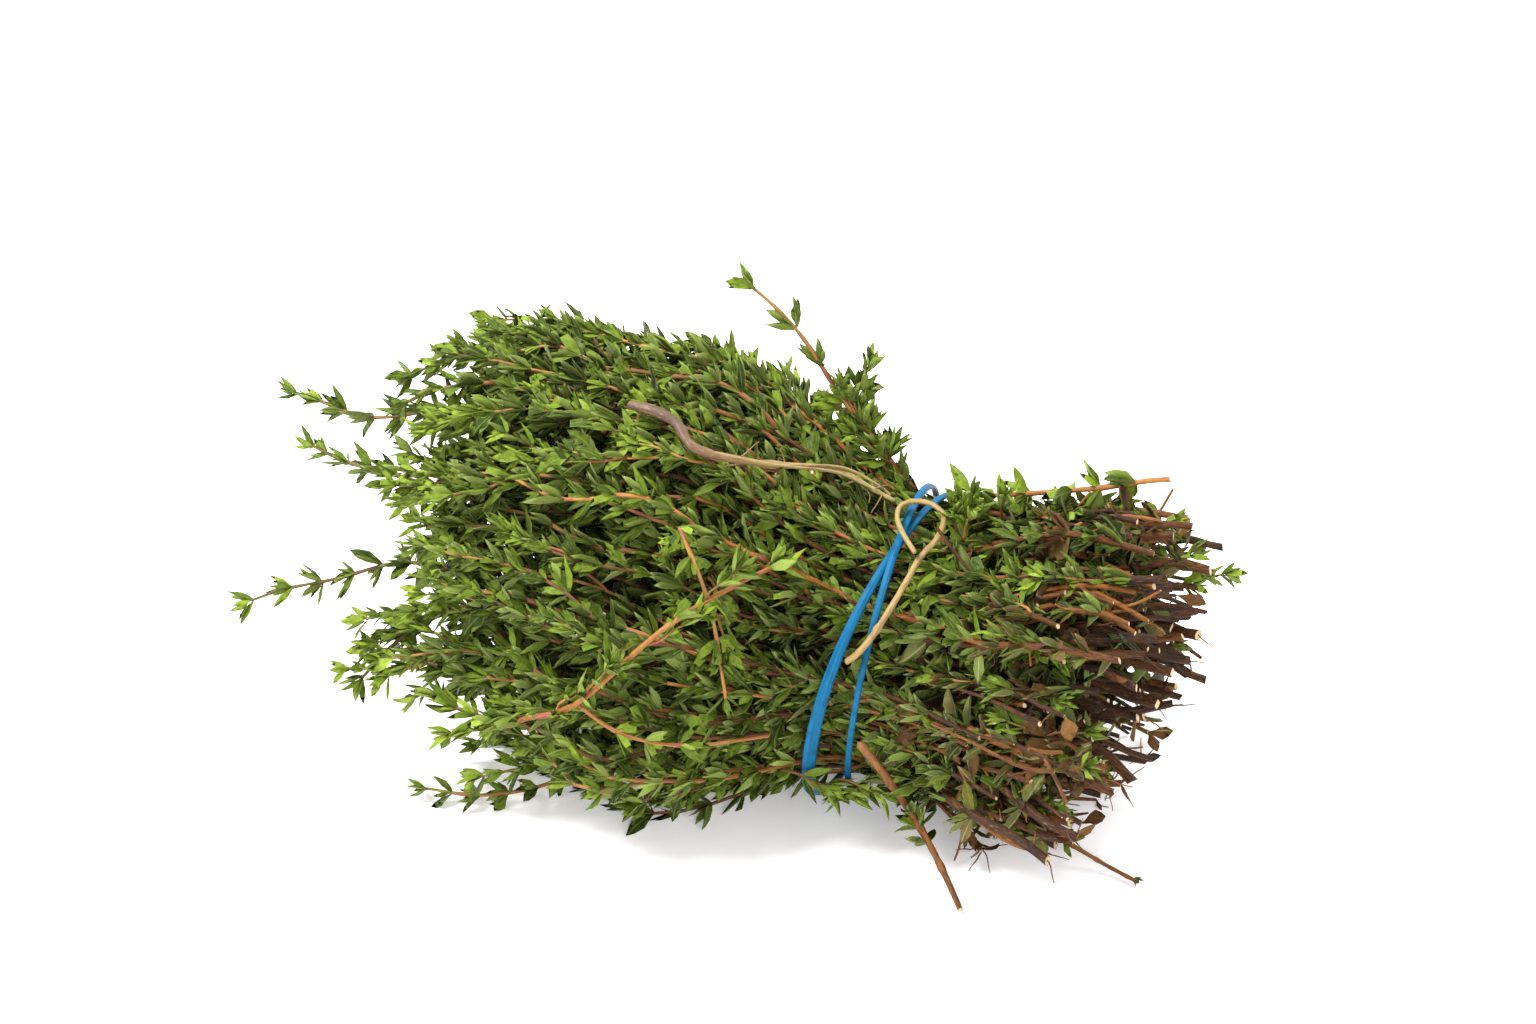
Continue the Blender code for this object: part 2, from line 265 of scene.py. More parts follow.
class Value:
    """A number that varies over a surface. Python's operators on it add Math nodes."""

    def __init__(self, paint, socket):
        self.paint = paint
        self.socket = socket

    def maths(self, operation, *others):
        inputs = dict(enumerate((self, *others)))
        return self.paint.node("ShaderNodeMath", {"operation": operation}, inputs)

    def __add__(self, other):
        return self.maths("ADD", other)

    def __sub__(self, other):
        return self.maths("SUBTRACT", other)

    def __rsub__(self, other):
        return self.paint.node("ShaderNodeMath", {"operation": "SUBTRACT"}, {0: other, 1: self})

    def __mul__(self, other):
        return self.maths("MULTIPLY", other)

    def __pow__(self, other):
        return self.maths("POWER", other)

    __radd__ = __add__

    def __abs__(self):
        return self.maths("ABSOLUTE")

    def between(self, low, high):
        """0 at `low` and 1 at `high`, smooth between them and level beyond."""
        inputs = {0: self, 1: low, 2: high}
        return self.paint.node("ShaderNodeMapRange", {"interpolation_type": "SMOOTHSTEP"}, inputs)


class Paint:
    """A material and the nodes that paint it."""

    def __init__(self, name, **constants):
        self.material = bpy.data.materials.new(name)
        self.material.use_nodes = True
        self.tree = self.material.node_tree
        self.shader = self.tree.nodes["Principled BSDF"]
        for socket, value in constants.items():
            self.shader.inputs[socket.replace("_", " ")].default_value = value

    def node(self, kind, settings=None, inputs=None, output=0):
        """Adds a node: its settings first, then its sockets' values or links."""
        made = self.tree.nodes.new(kind)
        for name, value in (settings or {}).items():
            if name == "stops":
                self.set_stops(made.color_ramp, value)
            else:
                setattr(made, name, value)
        for name, value in (inputs or {}).items():
            self.feed(made.inputs[name], value)
        return Value(self, made.outputs[output])

    def feed(self, socket, value):
        if isinstance(value, Value):
            self.tree.links.new(value.socket, socket)
        elif isinstance(value, tuple) and len(value) == 3 and socket.type == "RGBA":
            socket.default_value = (*value, 1)
        else:
            socket.default_value = value

    def set_stops(self, ramp, stops):
        ends = ramp.elements[:]
        for end, (position, colour) in zip(ends, (stops[0], stops[-1])):
            end.position, end.color = position, (*colour, 1)
        for position, colour in stops[1:-1]:
            ramp.elements.new(position).color = (*colour, 1)

    def attribute(self, name, output="Fac"):
        return self.node("ShaderNodeAttribute", {"attribute_name": name}, output=output)

    def parts(self, vector):
        """The x, y and z of a vector."""
        made = self.node("ShaderNodeSeparateXYZ", inputs={0: vector})
        node = made.socket.node
        return [Value(self, node.outputs[axis]) for axis in range(3)]

    def joined(self, x, y, z):
        return self.node("ShaderNodeCombineXYZ", inputs={0: x, 1: y, 2: z})

    def ramp(self, factor, *stops):
        return self.node("ShaderNodeValToRGB", {"stops": stops}, {"Fac": factor})

    def mix(self, first, second, factor, blend_type="MIX"):
        settings = {"data_type": "RGBA", "blend_type": blend_type}
        return self.node("ShaderNodeMix", settings, {0: factor, 6: first, 7: second}, output=2)

    def noise(self, vector, scale, detail=2.0, roughness=0.5):
        inputs = {"Vector": vector, "Scale": scale, "Detail": detail, "Roughness": roughness}
        return self.node("ShaderNodeTexNoise", inputs=inputs)

    def stem_noise(self, across, along, scale, detail, roughness=0.5):
        """Noise that is drawn out along a stem: how fast it changes across and along it."""
        x, y, run = self.parts(self.attribute("grain", "Vector"))
        drawn_out = self.joined(x * across, y * across, run * along)
        return self.noise(drawn_out, scale, detail, roughness)

    def place(self):
        """Where a point is on the piece, in metres."""
        return self.node("ShaderNodeTexCoord", output="Object")

    def bump(self, height, strength, distance):
        inputs = {"Height": height, "Strength": strength, "Distance": distance}
        return self.node("ShaderNodeBump", inputs=inputs)

    def finish(self, colour, roughness, normal):
        sockets = {"Base Color": colour, "Roughness": roughness, "Normal": normal}
        for socket, value in sockets.items():
            self.feed(self.shader.inputs[socket], value)
        return self.material


def leaf_material():
    """Thyme leaf. Its marks: `age` from fresh to dry, `tone` by leaf and lowered as painted shade
    for leaves deep in the bundle, `under` for the underside, and `grain` with how far across and
    along the blade a point is.
    """
    paint = Paint("thyme_leaf", Metallic=0.0, IOR=1.45, Specular_IOR_Level=0.14)
    age = paint.attribute("age")
    tone = paint.attribute("tone")
    beneath = paint.attribute("under").maths("GREATER_THAN", 0.5)
    across, along, seed = paint.parts(paint.attribute("grain", "Vector"))
    margin = abs(across)
    place = paint.place()

    # Painted shade and light: deep is a shaded and bright a lit copy of the leaf's colours; the
    # mix follows each leaf's tone, which is random and lower for leaves deep in the bundle.
    deep = paint.ramp(
        age,
        (0.0, (0.040, 0.072, 0.002)),
        (0.3, (0.012, 0.025, 0.001)),
        (0.6, (0.006, 0.011, 0.0008)),
        (0.8, (0.014, 0.012, 0.002)),
        (0.92, (0.022, 0.010, 0.003)),
        (1.0, (0.032, 0.014, 0.004)),
    )
    bright = paint.ramp(
        age,
        (0.0, (0.250, 0.345, 0.028)),
        (0.3, (0.130, 0.200, 0.014)),
        (0.6, (0.094, 0.122, 0.010)),
        (0.8, (0.105, 0.074, 0.015)),
        (0.92, (0.135, 0.063, 0.018)),
        (1.0, (0.165, 0.074, 0.020)),
    )
    top = paint.mix(deep, bright, tone)
    midrib, rim = 1 - margin.between(0.02, 0.16), margin.between(0.80, 1.0)
    alive = 1 - age.between(0.7, 0.9)
    # Painted highlights: living leaves are lighter along the midrib and along the rim, where gloss
    # catches light.
    top = paint.mix(top, (0.20, 0.26, 0.05), midrib * 0.4 * alive)
    top = paint.mix(top, (0.22, 0.27, 0.07), rim * 0.42 * alive)
    mottle = paint.noise(place, 900.0, 2.0).between(0.35, 0.7)
    top = paint.mix(top, (0.42, 0.46, 0.34), mottle * 0.55, "MULTIPLY")
    cells = paint.node("ShaderNodeTexVoronoi", inputs={"Vector": place, "Scale": 3600.0})
    glands = 1 - cells.between(0.10, 0.32)
    top = paint.mix(top, (0.015, 0.035, 0.006), glands * 0.35)

    pale = paint.ramp(
        age,
        (0.0, (0.205, 0.270, 0.045)),
        (0.5, (0.120, 0.145, 0.040)),
        (0.8, (0.120, 0.085, 0.032)),
        (1.0, (0.120, 0.056, 0.020)),
    )
    # Painted shade: the underside is darker on leaves with a low tone, as deep in the bundle.
    below = paint.mix(pale, (0.55, 0.6, 0.5), 1 - tone, "MULTIPLY")
    below = paint.mix(below, (0.28, 0.31, 0.12), midrib * 0.6)
    below = paint.mix(below, top, rim * 0.8)
    below = paint.mix(below, (0.05, 0.08, 0.03), glands * 0.3)
    blade = paint.mix(top, below, beneath)
    foot = 1 - along.between(0.0, 0.2)
    blade = paint.mix(blade, (0.16, 0.20, 0.05), foot * 0.5)
    spots = paint.noise(paint.joined(across, along * 3, seed), 1.6, 2.0).between(0.62, 0.74)
    blade = paint.mix(blade, (0.10, 0.060, 0.022), spots * age.between(0.45, 0.9) * 0.7)

    veins = ((margin * 0.5 - along) * 34).maths("SINE") * 0.5 + 0.5
    relief = veins * 0.25 + midrib * (-0.8) - glands * 0.35 + mottle * 0.5
    roughness = 0.44 + beneath * 0.26 + age.between(0.5, 1.0) * 0.16 + mottle * 0.10
    return paint.finish(blade, roughness, paint.bump(relief, 0.5, 0.00012))


def bark_material():
    """Thyme stem: green to pink when young, brown and fibrous when old."""
    paint = Paint("thyme_bark", Metallic=0.0, Specular_IOR_Level=0.25)
    age = paint.attribute("age")
    tone = paint.attribute("tone")
    fibres = paint.stem_noise(1.3, 0.22, 3.2, 4.0, 0.65)
    patches = paint.stem_noise(0.4, 0.16, 1.5, 3.0)
    # Painted shade and light: dull is a shaded and warm a lit copy of the bark; the mix follows
    # the stem's tone, lower for stems deep in the bundle and for low ones, and real patches.
    dull = paint.ramp(
        age,
        (0.0, (0.065, 0.060, 0.010)),
        (0.25, (0.070, 0.030, 0.010)),
        (0.55, (0.040, 0.013, 0.006)),
        (0.8, (0.022, 0.007, 0.0025)),
        (1.0, (0.012, 0.004, 0.0015)),
    )
    warm = paint.ramp(
        age,
        (0.0, (0.250, 0.210, 0.050)),
        (0.25, (0.430, 0.205, 0.058)),
        (0.55, (0.370, 0.140, 0.026)),
        (0.8, (0.265, 0.092, 0.012)),
        (1.0, (0.165, 0.056, 0.007)),
    )
    bark = paint.mix(dull, warm, (tone * 0.7 + patches * 0.6).between(0.15, 0.95))
    flush = paint.stem_noise(0.0, 0.09, 1.0, 1.0).between(0.5, 0.62)
    pink = flush * age.between(0.05, 0.25) * (1 - age.between(0.6, 0.8)) * tone.between(0.2, 0.6)
    bark = paint.mix(bark, (0.300, 0.085, 0.060), pink * 0.8)
    # Darker in the creases between the fibres, more so on old bark: dark furrows, with painted
    # shade in them.
    crease = 1 - fibres.between(0.36, 0.52)
    bark = paint.mix(bark, (0.012, 0.005, 0.003), crease * (0.25 + age.between(0.2, 0.8) * 0.6))
    strands = fibres.between(0.56, 0.72)
    bark = paint.mix(bark, (0.36, 0.20, 0.09), strands * age.between(0.1, 0.7) * 0.35)
    roughness = 0.52 + crease * 0.2 + age * 0.12
    return paint.finish(bark, roughness, paint.bump(fibres, 0.7, 0.0002))


def pith_material():
    """A cut stem's end: pale wood, a darker middle and a rim of bark."""
    paint = Paint("cut_pith", Metallic=0.0)
    x, y, _ = paint.parts(paint.attribute("grain", "Vector"))
    radius = (x * x + y * y) ** 0.5
    place = paint.place()
    wood = paint.ramp(
        radius,
        (0.0, (0.36, 0.26, 0.13)),
        (0.2, (0.56, 0.44, 0.25)),
        (0.75, (0.48, 0.34, 0.17)),
        (0.9, (0.13, 0.065, 0.030)),
    )
    flecks = paint.noise(place, 3000.0, 3.0)
    wood = paint.mix(wood, (0.16, 0.09, 0.045), flecks.between(0.5, 0.75) * 0.6)
    rays = paint.stem_noise(4.0, 0.0, 2.0, 2.0)
    return paint.finish(wood, 0.7 + rays * 0.15, paint.bump(flecks + rays, 0.6, 0.0002))


def tendril_material():
    """Dry stem that has lost its leaves: straw yellow with brown joints and long fibres."""
    paint = Paint("dry_stem", Metallic=0.0)
    age = paint.attribute("age")
    fibres = paint.stem_noise(1.0, 0.16, 3.6, 4.0, 0.65)
    patches = paint.stem_noise(0.5, 0.12, 1.6, 3.0)
    straw = paint.ramp(
        age,
        (0.0, (0.270, 0.235, 0.070)),
        (0.35, (0.310, 0.195, 0.062)),
        (0.7, (0.190, 0.100, 0.038)),
        (1.0, (0.075, 0.036, 0.017)),
    )
    straw = paint.mix(straw, (0.16, 0.085, 0.030), patches.between(0.50, 0.72) * 0.75)
    # Darker in the creases between the fibres: dark furrows, with painted shade in them.
    crease = 1 - fibres.between(0.34, 0.50)
    straw = paint.mix(straw, (0.060, 0.034, 0.015), crease * 0.6)
    strands = fibres.between(0.56, 0.74)
    straw = paint.mix(straw, (0.56, 0.44, 0.22), strands * 0.45)
    return paint.finish(straw, 0.5 + crease * 0.2, paint.bump(fibres, 0.7, 0.0002))


def rubber_material():
    """Stretched blue rubber: even, slightly streaked along its length and dusty."""
    paint = Paint("blue_rubber", Metallic=0.0, IOR=1.5, Specular_IOR_Level=0.12)
    streaks = paint.stem_noise(6.0, 0.04, 1.6, 3.0, 0.6)
    cloud = paint.noise(paint.place(), 260.0, 3.0)
    blue = paint.mix((0.002, 0.062, 0.140), (0.004, 0.130, 0.270), streaks.between(0.3, 0.7))
    blue = paint.mix(blue, (0.001, 0.036, 0.070), cloud.between(0.48, 0.7) * 0.6)
    roughness = 0.38 + streaks * 0.16 + cloud * 0.08
    return paint.finish(blue, roughness, paint.bump(streaks, 0.35, 0.0001))


LEAF, BARK, PITH = 0, 1, 2
THYME = (leaf_material(), bark_material(), pith_material())
DRY = (THYME[LEAF], tendril_material(), THYME[PITH])
RUBBER = rubber_material()


# ---------------------------------------------------------------- leaves


class Marks:
    """The marks that the materials read from a mesh."""

    def __init__(self, bm):
        layers = bm.verts.layers
        self.grain = layers.float_vector.new("grain")
        self.tone, self.age, self.under = map(layers.float.new, ("tone", "age", "under"))


# How far along a blade its sections lie, and how wide it is there
NARROW = ((0.0, 0.16), (0.22, 0.74), (0.48, 1.0), (0.77, 0.52))
BROAD = ((0.0, 0.10), (0.15, 0.42), (0.36, 0.92), (0.60, 1.0), (0.85, 0.46))
SMALL = ((0.0, 0.22), (0.34, 0.98), (0.70, 0.62))


def drum(bm, sides):
    """The drum that a leaf or a stem is drawn out of: its corners, back face and front face."""
    corners = bmesh.ops.create_cone(
        bm, cap_ends=True, segments=sides, radius1=1.0, radius2=1.0, depth=1.0
    )["verts"]
    faces = {face for vert in corners for face in vert.link_faces}
    back = next(face for face in faces if all(vert.co.z < 0 for vert in face.verts))
    front = next(face for face in faces if all(vert.co.z > 0 for vert in face.verts))
    return corners, back, front


def drawn_on(bm, front):
    return bmesh.ops.extrude_discrete_faces(bm, faces=[front])["faces"][0]


def made_mesh(name, bm, *materials):
    mesh = bpy.data.meshes.new(name)
    bm.to_mesh(mesh)
    bm.free()
    for material in materials:
        mesh.materials.append(material)
    return mesh


def placed_object(name, data):
    made = bpy.data.objects.new(name, data)
    bpy.context.scene.collection.objects.link(made)
    return made


def leaf_pattern(outline, fold, arch, twist, thickness=0.03, corners=4):
    """A leaf one long and one wide. Its foot is at the origin, y runs along it, z is its top.

    `fold` lifts its margins, `arch` lifts its tip, and `twist` turns its tip, in radians. With
    three corners its section is flat on top and has a keel below.
    """
    bm = bmesh.new()
    marks = Marks(bm)
    section, back, front = drum(bm, corners)

    def shape(verts, along, width):
        turn = twist * along
        for vert in verts:
            across, above = round(vert[marks.grain].x), round(vert[marks.grain].z)
            x = 0.5 * across * width
            z = above * thickness * (0.4 + 0.6 * width) + fold * abs(across) * width
            aside = x * math.cos(turn) - z * math.sin(turn)
            raised = x * math.sin(turn) + z * math.cos(turn) + arch * along * along
            vert.co = Vector((aside, along, raised))
            vert[marks.grain] = Vector((across, along, above))
            vert[marks.under] = 0.5 - 0.5 * above

    for vert in section:
        vert[marks.grain] = Vector((vert.co.x, 0, -vert.co.y))
    shape(back.verts, *outline[0])
    shape(front.verts, *outline[1])
    for along, width in (*outline[2:], (1.0, 0.05)):
        front = drawn_on(bm, front)
        shape(front.verts, along, width)
    bmesh.ops.pointmerge(bm, verts=front.verts, merge_co=Vector((0, 1.0, arch)))
    point = max(bm.verts, key=lambda vert: vert.co.y)
    point[marks.grain] = Vector((0.45, 1.0, 0))
    point[marks.under] = 0.5
    bmesh.ops.recalc_face_normals(bm, faces=bm.faces)
    for face in bm.faces:
        face.smooth = True
    for edge in bm.edges:
        edge.smooth = not all(abs(vert[marks.grain].x) > 0.9 for vert in edge.verts)
    return made_mesh("leaf_pattern", bm)


NARROW_LEAVES = [
    leaf_pattern(NARROW, *bends)
    for bends in (
        (0.10, -0.10, 0.0),
        (-0.05, -0.22, 0.25),
        (0.07, 0.14, -0.2),
        (-0.12, 0.05, 0.1),
        (0.04, -0.12, 0.7),
    )
]
BROAD_LEAVES = [
    leaf_pattern(BROAD, *bends)
    for bends in ((0.06, -0.16, 0.1), (-0.06, -0.24, -0.4), (0.12, 0.10, 0.3))
]
SMALL_LEAVES = [
    leaf_pattern(SMALL, *bends, corners=3)
    for bends in ((0.10, 0.10, 0.0, 0.06), (0.04, -0.18, 0.3, 0.06), (0.14, 0.16, -0.5, 0.05))
]
DRY_LEAVES = [leaf_pattern(NARROW, -0.20, -0.30, 1.3), leaf_pattern(BROAD, 0.22, 0.34, -1.1)]


# ---------------------------------------------------------------- growing a piece


def outward_at(axes, angle):
    return axes.col[0] * math.cos(angle) + axes.col[1] * math.sin(angle)


def leaning(axes, angle, lean, way=1):
    """The direction that leans from a stem's own, by `lean`, to the side that `angle` gives."""
    onward = axes.col[2] * way
    return onward * math.cos(lean) + outward_at(axes, angle) * math.sin(lean)


class Growth:
    """One piece while it grows: stems first, then their leaves."""

    def __init__(self, name, materials=THYME, over_band=False):
        self.name = name
        self.materials = materials
        self.over_band = over_band
        self.chance = random.Random(name)
        self.bm = bmesh.new()
        self.marks = Marks(self.bm)
        self.leaves = []
        self.dullness = self.near(0, 0.1)
        self.high = 0.5  # how high in the bundle it lies: 0 on the floor, 1 on top

    def near(self, centre, spread):
        return self.chance.uniform(centre - spread, centre + spread)

    def stem(self, path, radii, ages, sides=6, slant=None, light=1.0, tone=None):
        """A round stem along `path`, with a radius and an age for each point, ending in a point.

        `slant` is how far its first end is cut off square, in radians; None leaves it plain.
        """
        bm, marks = self.bm, self.marks
        frames = carried_frames(path)
        # Painted shade and light: unless given, a stem's tone is random, lower for a stem deep in
        # the bundle and higher the higher it lies.
        if tone is None:
            tone = light * blend(0.55, 1.15, self.high) * self.chance.random() ** 1.3
        ring, back, front = drum(bm, sides)
        for face in {face for vert in ring for face in vert.link_faces}:
            face.material_index = BARK
            face.smooth = True
        if slant is not None:
            back.material_index = PITH
            back.smooth = False
            for edge in back.edges:
                edge.smooth = False

        def shape(verts, index, run):
            placed = frames[index] @ Matrix.Scale(radii[index], 4)
            if index == 0 and slant:
                placed = placed @ Matrix.Rotation(slant, 4, "X")
            for vert in verts:
                x, y = vert[marks.grain].x, vert[marks.grain].y
                vert.co = placed @ Vector((x, y, 0))
                vert[marks.grain] = Vector((x, y, run))
                vert[marks.age] = ages[index]
                vert[marks.tone] = tone

        for vert in ring:
            vert[marks.grain] = Vector((vert.co.x, vert.co.y, 0))
        run = self.chance.uniform(0, 500)
        shape(back.verts, 0, run)
        for index in range(1, len(path)):
            run += (path[index] - path[index - 1]).length
            if index > 1:
                front = drawn_on(bm, front)
            shape(front.verts, index, run)
        front = drawn_on(bm, front)
        tip = path[-1] + (path[-1] - path[-2]).normalized() * radii[-1]
        bmesh.ops.pointmerge(bm, verts=front.verts, merge_co=tip)
        return frames

    def leaf(self, foot, direction, top, length, width, age, patterns, light=1.0):
        """Notes a leaf, to be grown once all the stems stand."""
        if not self.over_band:
            foot, direction = keep_under_band(foot, direction, length)
        self.leaves.append((foot, direction, top, length, width, age, patterns, light))

    def whorl(self, placed, turn, spread, length, width, age, tuft=0, patterns=None, light=1.0):
        """A pair of opposite leaves at a frame of a stem, each with a fan of `tuft` small ones."""
        chance = self.chance
        patterns = patterns or NARROW_LEAVES
        axes = placed.to_3x3()
        foot = placed.translation
        top = axes.col[2] * 0.6 + Vector((0, 0, 0.9))
        for angle in (turn, turn + math.pi):
            direction = leaning(axes, angle, self.near(spread, 0.22))
            grown = length * self.near(1.0, 0.16)
            self.leaf(foot, direction, top, grown, width * grown, age, patterns, light)
            for _ in range(tuft):
                aside = angle + self.near(0, 0.9)
                direction = leaning(axes, aside, spread * chance.uniform(0.25, 1.05))
                raised = foot + direction * chance.uniform(0.1, 1.3)
                small = length * chance.uniform(0.5, 0.9)
                wide, young = 1.12 * width * small, max(age - 0.14, 0)
                self.leaf(raised, direction, top, small, wide, young, SMALL_LEAVES, light)

    def bud(self, placed, length, age):
        """The cluster of young leaves at a tip."""
        turn = self.chance.uniform(0, math.pi)
        onward = placed.to_3x3().col[2]
        pairs = ((0.75, 1.0, 1), (0.50, 0.9, 0), (0.28, 0.7, 0))
        for step, (lean, share, tuft) in enumerate(pairs):
            raised = placed.copy()
            raised.translation = placed.translation + onward * (0.6 * step - 0.6)
            young = max(age - 0.05 * step, 0)
            self.whorl(raised, turn, lean, length * share, BUD_LEAF_WIDTH, young, tuft)
            turn += math.pi / 2

    def grow_leaves(self):
        bm, marks, chance = self.bm, self.marks, self.chance
        for foot, direction, top, length, width, age, patterns, light in self.leaves:
            start = len(bm.verts)
            bm.from_mesh(chance.choice(patterns))
            bm.verts.ensure_lookup_table()
            direction = direction.normalized()
            across = direction.cross(top).normalized()
            across = Matrix.Rotation(chance.gauss(0, 0.6), 3, direction) @ across
            above = across.cross(direction)
            placed = Matrix((across * width, direction * length, above * length))
            placed = placed.transposed().to_4x4()
            placed.translation = foot
            # Painted shade: a leaf's tone is random, scaled down by `light` for leaves deep in the
            # bundle.
            tone, seed = light * chance.random(), chance.uniform(0, 90)
            aged = min(max(age + self.dullness + chance.gauss(0, 0.07), 0), 1)
            for index in range(start, len(bm.verts)):
                vert = bm.verts[index]
                vert.co = placed @ vert.co
                vert[marks.grain].z = seed
                vert[marks.tone] = tone
                vert[marks.age] = aged
        self.leaves = []

    def finish(self, node, slot):
        """Makes the piece, in metres in the model's place, that stands for a node."""
        self.grow_leaves()
        for vert in self.bm.verts:
            vert.co = ORIGIN + vert.co * MM
            vert.co.z = max(vert.co.z, LOWEST)
        stand_for(self.name, made_mesh(self.name, self.bm, *self.materials), node)


def stand_for(name, mesh, node):
    piece = placed_object(name, mesh)
    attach(piece, "root")
    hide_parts(node)


def waist_offset(point):
    """How far a point is from the middle of the waist at its place along the bundle."""
    middle = flare((point.x, 0, WAIST_RADIUS))
    return Vector((0, point.y - middle.y, point.z - middle.z))


def beside_band(point):
    """How far along the bundle a point is from the strip that the band's turns cover."""
    offset = waist_offset(point)
    angle = math.atan2(offset.z, offset.y)
    middle = 1.5 + BAND_LEAN * math.cos(angle - math.radians(65))
    return max(abs(point.x - middle) - BAND_REACH, 0)


def keep_under_band(foot, direction, length):
    """Lays a leaf flat where it would stand through the rubber band."""
    tip = foot + direction * length
    if beside_band(tip) > 0:
        return foot, direction
    offset = waist_offset(tip)
    if offset.length < LEAF_LIMIT:
        return foot, direction
    outward = offset.normalized()
    direction = direction - outward * direction.dot(outward)
    if direction.length < 0.3:
        direction = Vector((-1, 0, 0)) - outward * Vector((-1, 0, 0)).dot(outward)
    direction = direction.normalized()
    excess = waist_offset(foot + direction * length).length - LEAF_LIMIT
    return foot - outward * max(excess, 0), direction


# ---------------------------------------------------------------- sprigs in their lanes


def lane_centres():
    for row, count in enumerate(LANES_PER_ROW):
        for place in range(count):
            yield (place - (count - 1) / 2) * LANE, (row + 0.5) * LANE


class LaneStem:
    """One long stem of a sprig: its line through the lane, from its cut end to its tip."""

    def __init__(self, growth, side, height, cut, tip, ring):
        chance = growth.chance
        self.side, self.height = side, height
        self.cut, self.tip = cut, tip
        self.ring = ring
        self.reaches_out = (tip, 0.0, 0.0, 0.0)
        self.flat = 1 - 0.5 * (1 - height / BUNDLE_TOP) ** 3
        self.phase = chance.uniform(0, 2 * math.pi)
        self.turning = chance.uniform(-0.03, 0.03)
        self.waves = [chance.uniform(0, 2 * math.pi) for _ in range(4)]
        self.splay = [chance.gauss(0, 0.15), chance.gauss(0, 0.12)]
        if height > 40:
            self.splay[1] = -0.5 * abs(self.splay[1])

    def lane_point(self, along):
        leafy, woody = ease((-along - 6) / 40), ease((along - 10) / 35)
        spread = self.ring * (1 + 0.5 * leafy + 0.3 * woody)
        angle = self.phase + self.turning * along
        wander = 0.6 + 1.4 * leafy + 1.5 * woody
        pitches = (17, 6.1, 19, 5.3)
        waves = [math.sin(along / pitch + wave) for pitch, wave in zip(pitches, self.waves)]
        beyond = max(along - 14, 0)
        side = spread * math.cos(angle) + wander * (waves[0] + 0.4 * waves[1])
        side = self.side + (side + self.splay[0] * beyond) * self.flat
        height = self.height + spread * math.sin(angle) + wander * (waves[2] + 0.4 * waves[3])
        height += self.splay[1] * beyond
        mass_tip, longer, aside, upwards = self.reaches_out
        if longer < LONG_REACH:
            height -= TIP_DROOP * ease((self.height - 38) / 14) * ease((-74 - along) / 28)
        share = max(mass_tip - along, 0) / max(longer, 1)
        offset = Vector((0, side + aside * share**2, height + upwards * share**2 - WAIST_RADIUS))
        upward = ease((offset.z / max(offset.length, 1) - 0.2) / 0.4)
        top_limit = CUT_TOP_LIMIT
        if along < 0:
            top_limit = blend(SLOPE_LIMIT, TIPS_LIMIT, ease((-45 - along) / 20))
        room = blend(SIDE_LIMIT, top_limit, upward)
        limit = blend(STEM_LIMIT, room, ease((abs(along - 2) - 10) / 25))
        if offset.length > limit:
            offset *= limit / offset.length
        return Vector((along, offset.y, max(offset.z + WAIST_RADIUS, STEMS_ABOVE_FLOOR)))

    def shown(self, along):
        """How near the stem is to the bundle's surface: 0 deep inside, 1 outside."""
        point = self.lane_point(along)
        depth = math.hypot(point.y, point.z - WAIST_RADIUS)
        return max(ease((depth - 16) / 10), ease((self.reaches_out[0] - along) / 5))


def leaf_age(growth, along, distance_to_tip):
    """Fresh at a tip, deep green on the way, duller towards the cut ends."""
    dullest = blend(0.74, 0.46, growth.high)
    age = blend(0.36, dullest, ease((along + 40) / 90)) + growth.near(0, 0.1)
    age = blend(0.04, age, ease(distance_to_tip / 20))
    withered = blend(0.08, 0.4, ease((along - 16) / 40)) * (1.6 - 0.8 * growth.high)
    if along > 16 and growth.chance.random() < withered:
        age = growth.near(0.88, 0.12)
    return age


def grow_lane_stem(growth, stem, thick, thin, leafy_from):
    """The stem itself and its whorls. Returns the places where side shoots may start."""
    chance = growth.chance
    middle = (stem.cut + stem.tip) / 2
    inner = max(stem.shown(middle), stem.shown(stem.tip + 20), stem.shown(stem.cut - 10)) < 0.25
    pace = 1 if inner or thick < 0.75 else 2
    alongs = []
    along = stem.cut
    while along > stem.tip + 1.5:
        alongs.append(along)
        gap = blend(TIP_JOINT_GAP, JOINT_GAP, ease((along - stem.tip) / 30))
        if along < stem.reaches_out[0] - 4 and stem.reaches_out[1] > LONG_REACH:
            gap = LONE_JOINT_GAP
        along -= gap / pace * chance.uniform(0.85, 1.15)
    alongs.append(stem.tip)
    path = [flare(stem.lane_point(along)) for along in alongs]
    length = stem.cut - stem.tip
    nodes = range(pace, len(alongs) - 1, pace)
    radii, ages = [], []
    for index, along in enumerate(alongs):
        share = (stem.cut - along) / length
        swelling = 1.2 if index in nodes else 0.95
        radii.append(blend(thick, thin, share**0.7) * swelling * chance.uniform(0.95, 1.05))
        ages.append(blend(1.0, 0.2, ease(share * 1.1)) if share < 0.9 else 2 - 2 * share)
    sides = 4 if inner else 6 if thick > 0.75 else 5
    # Painted shade: a stem that lies deep in the bundle gets a darker colour.
    slant, light = chance.uniform(-0.6, 0.6), blend(0.3, 1.0, stem.shown(middle))
    frames = growth.stem(path, radii, ages, sides, slant, light)
    starts = []
    turn = chance.uniform(0, math.pi)
    for index in nodes:
        along = alongs[index]
        turn += math.pi / 2 + growth.near(0, 0.2)
        if along > leafy_from:
            continue
        shown = stem.shown(along)
        starts.append((along, frames[index], shown))
        grow_node(growth, frames[index], turn, along, along - stem.tip, shown)
    growth.bud(frames[-1], BUD_LENGTH, 0.04)
    return starts


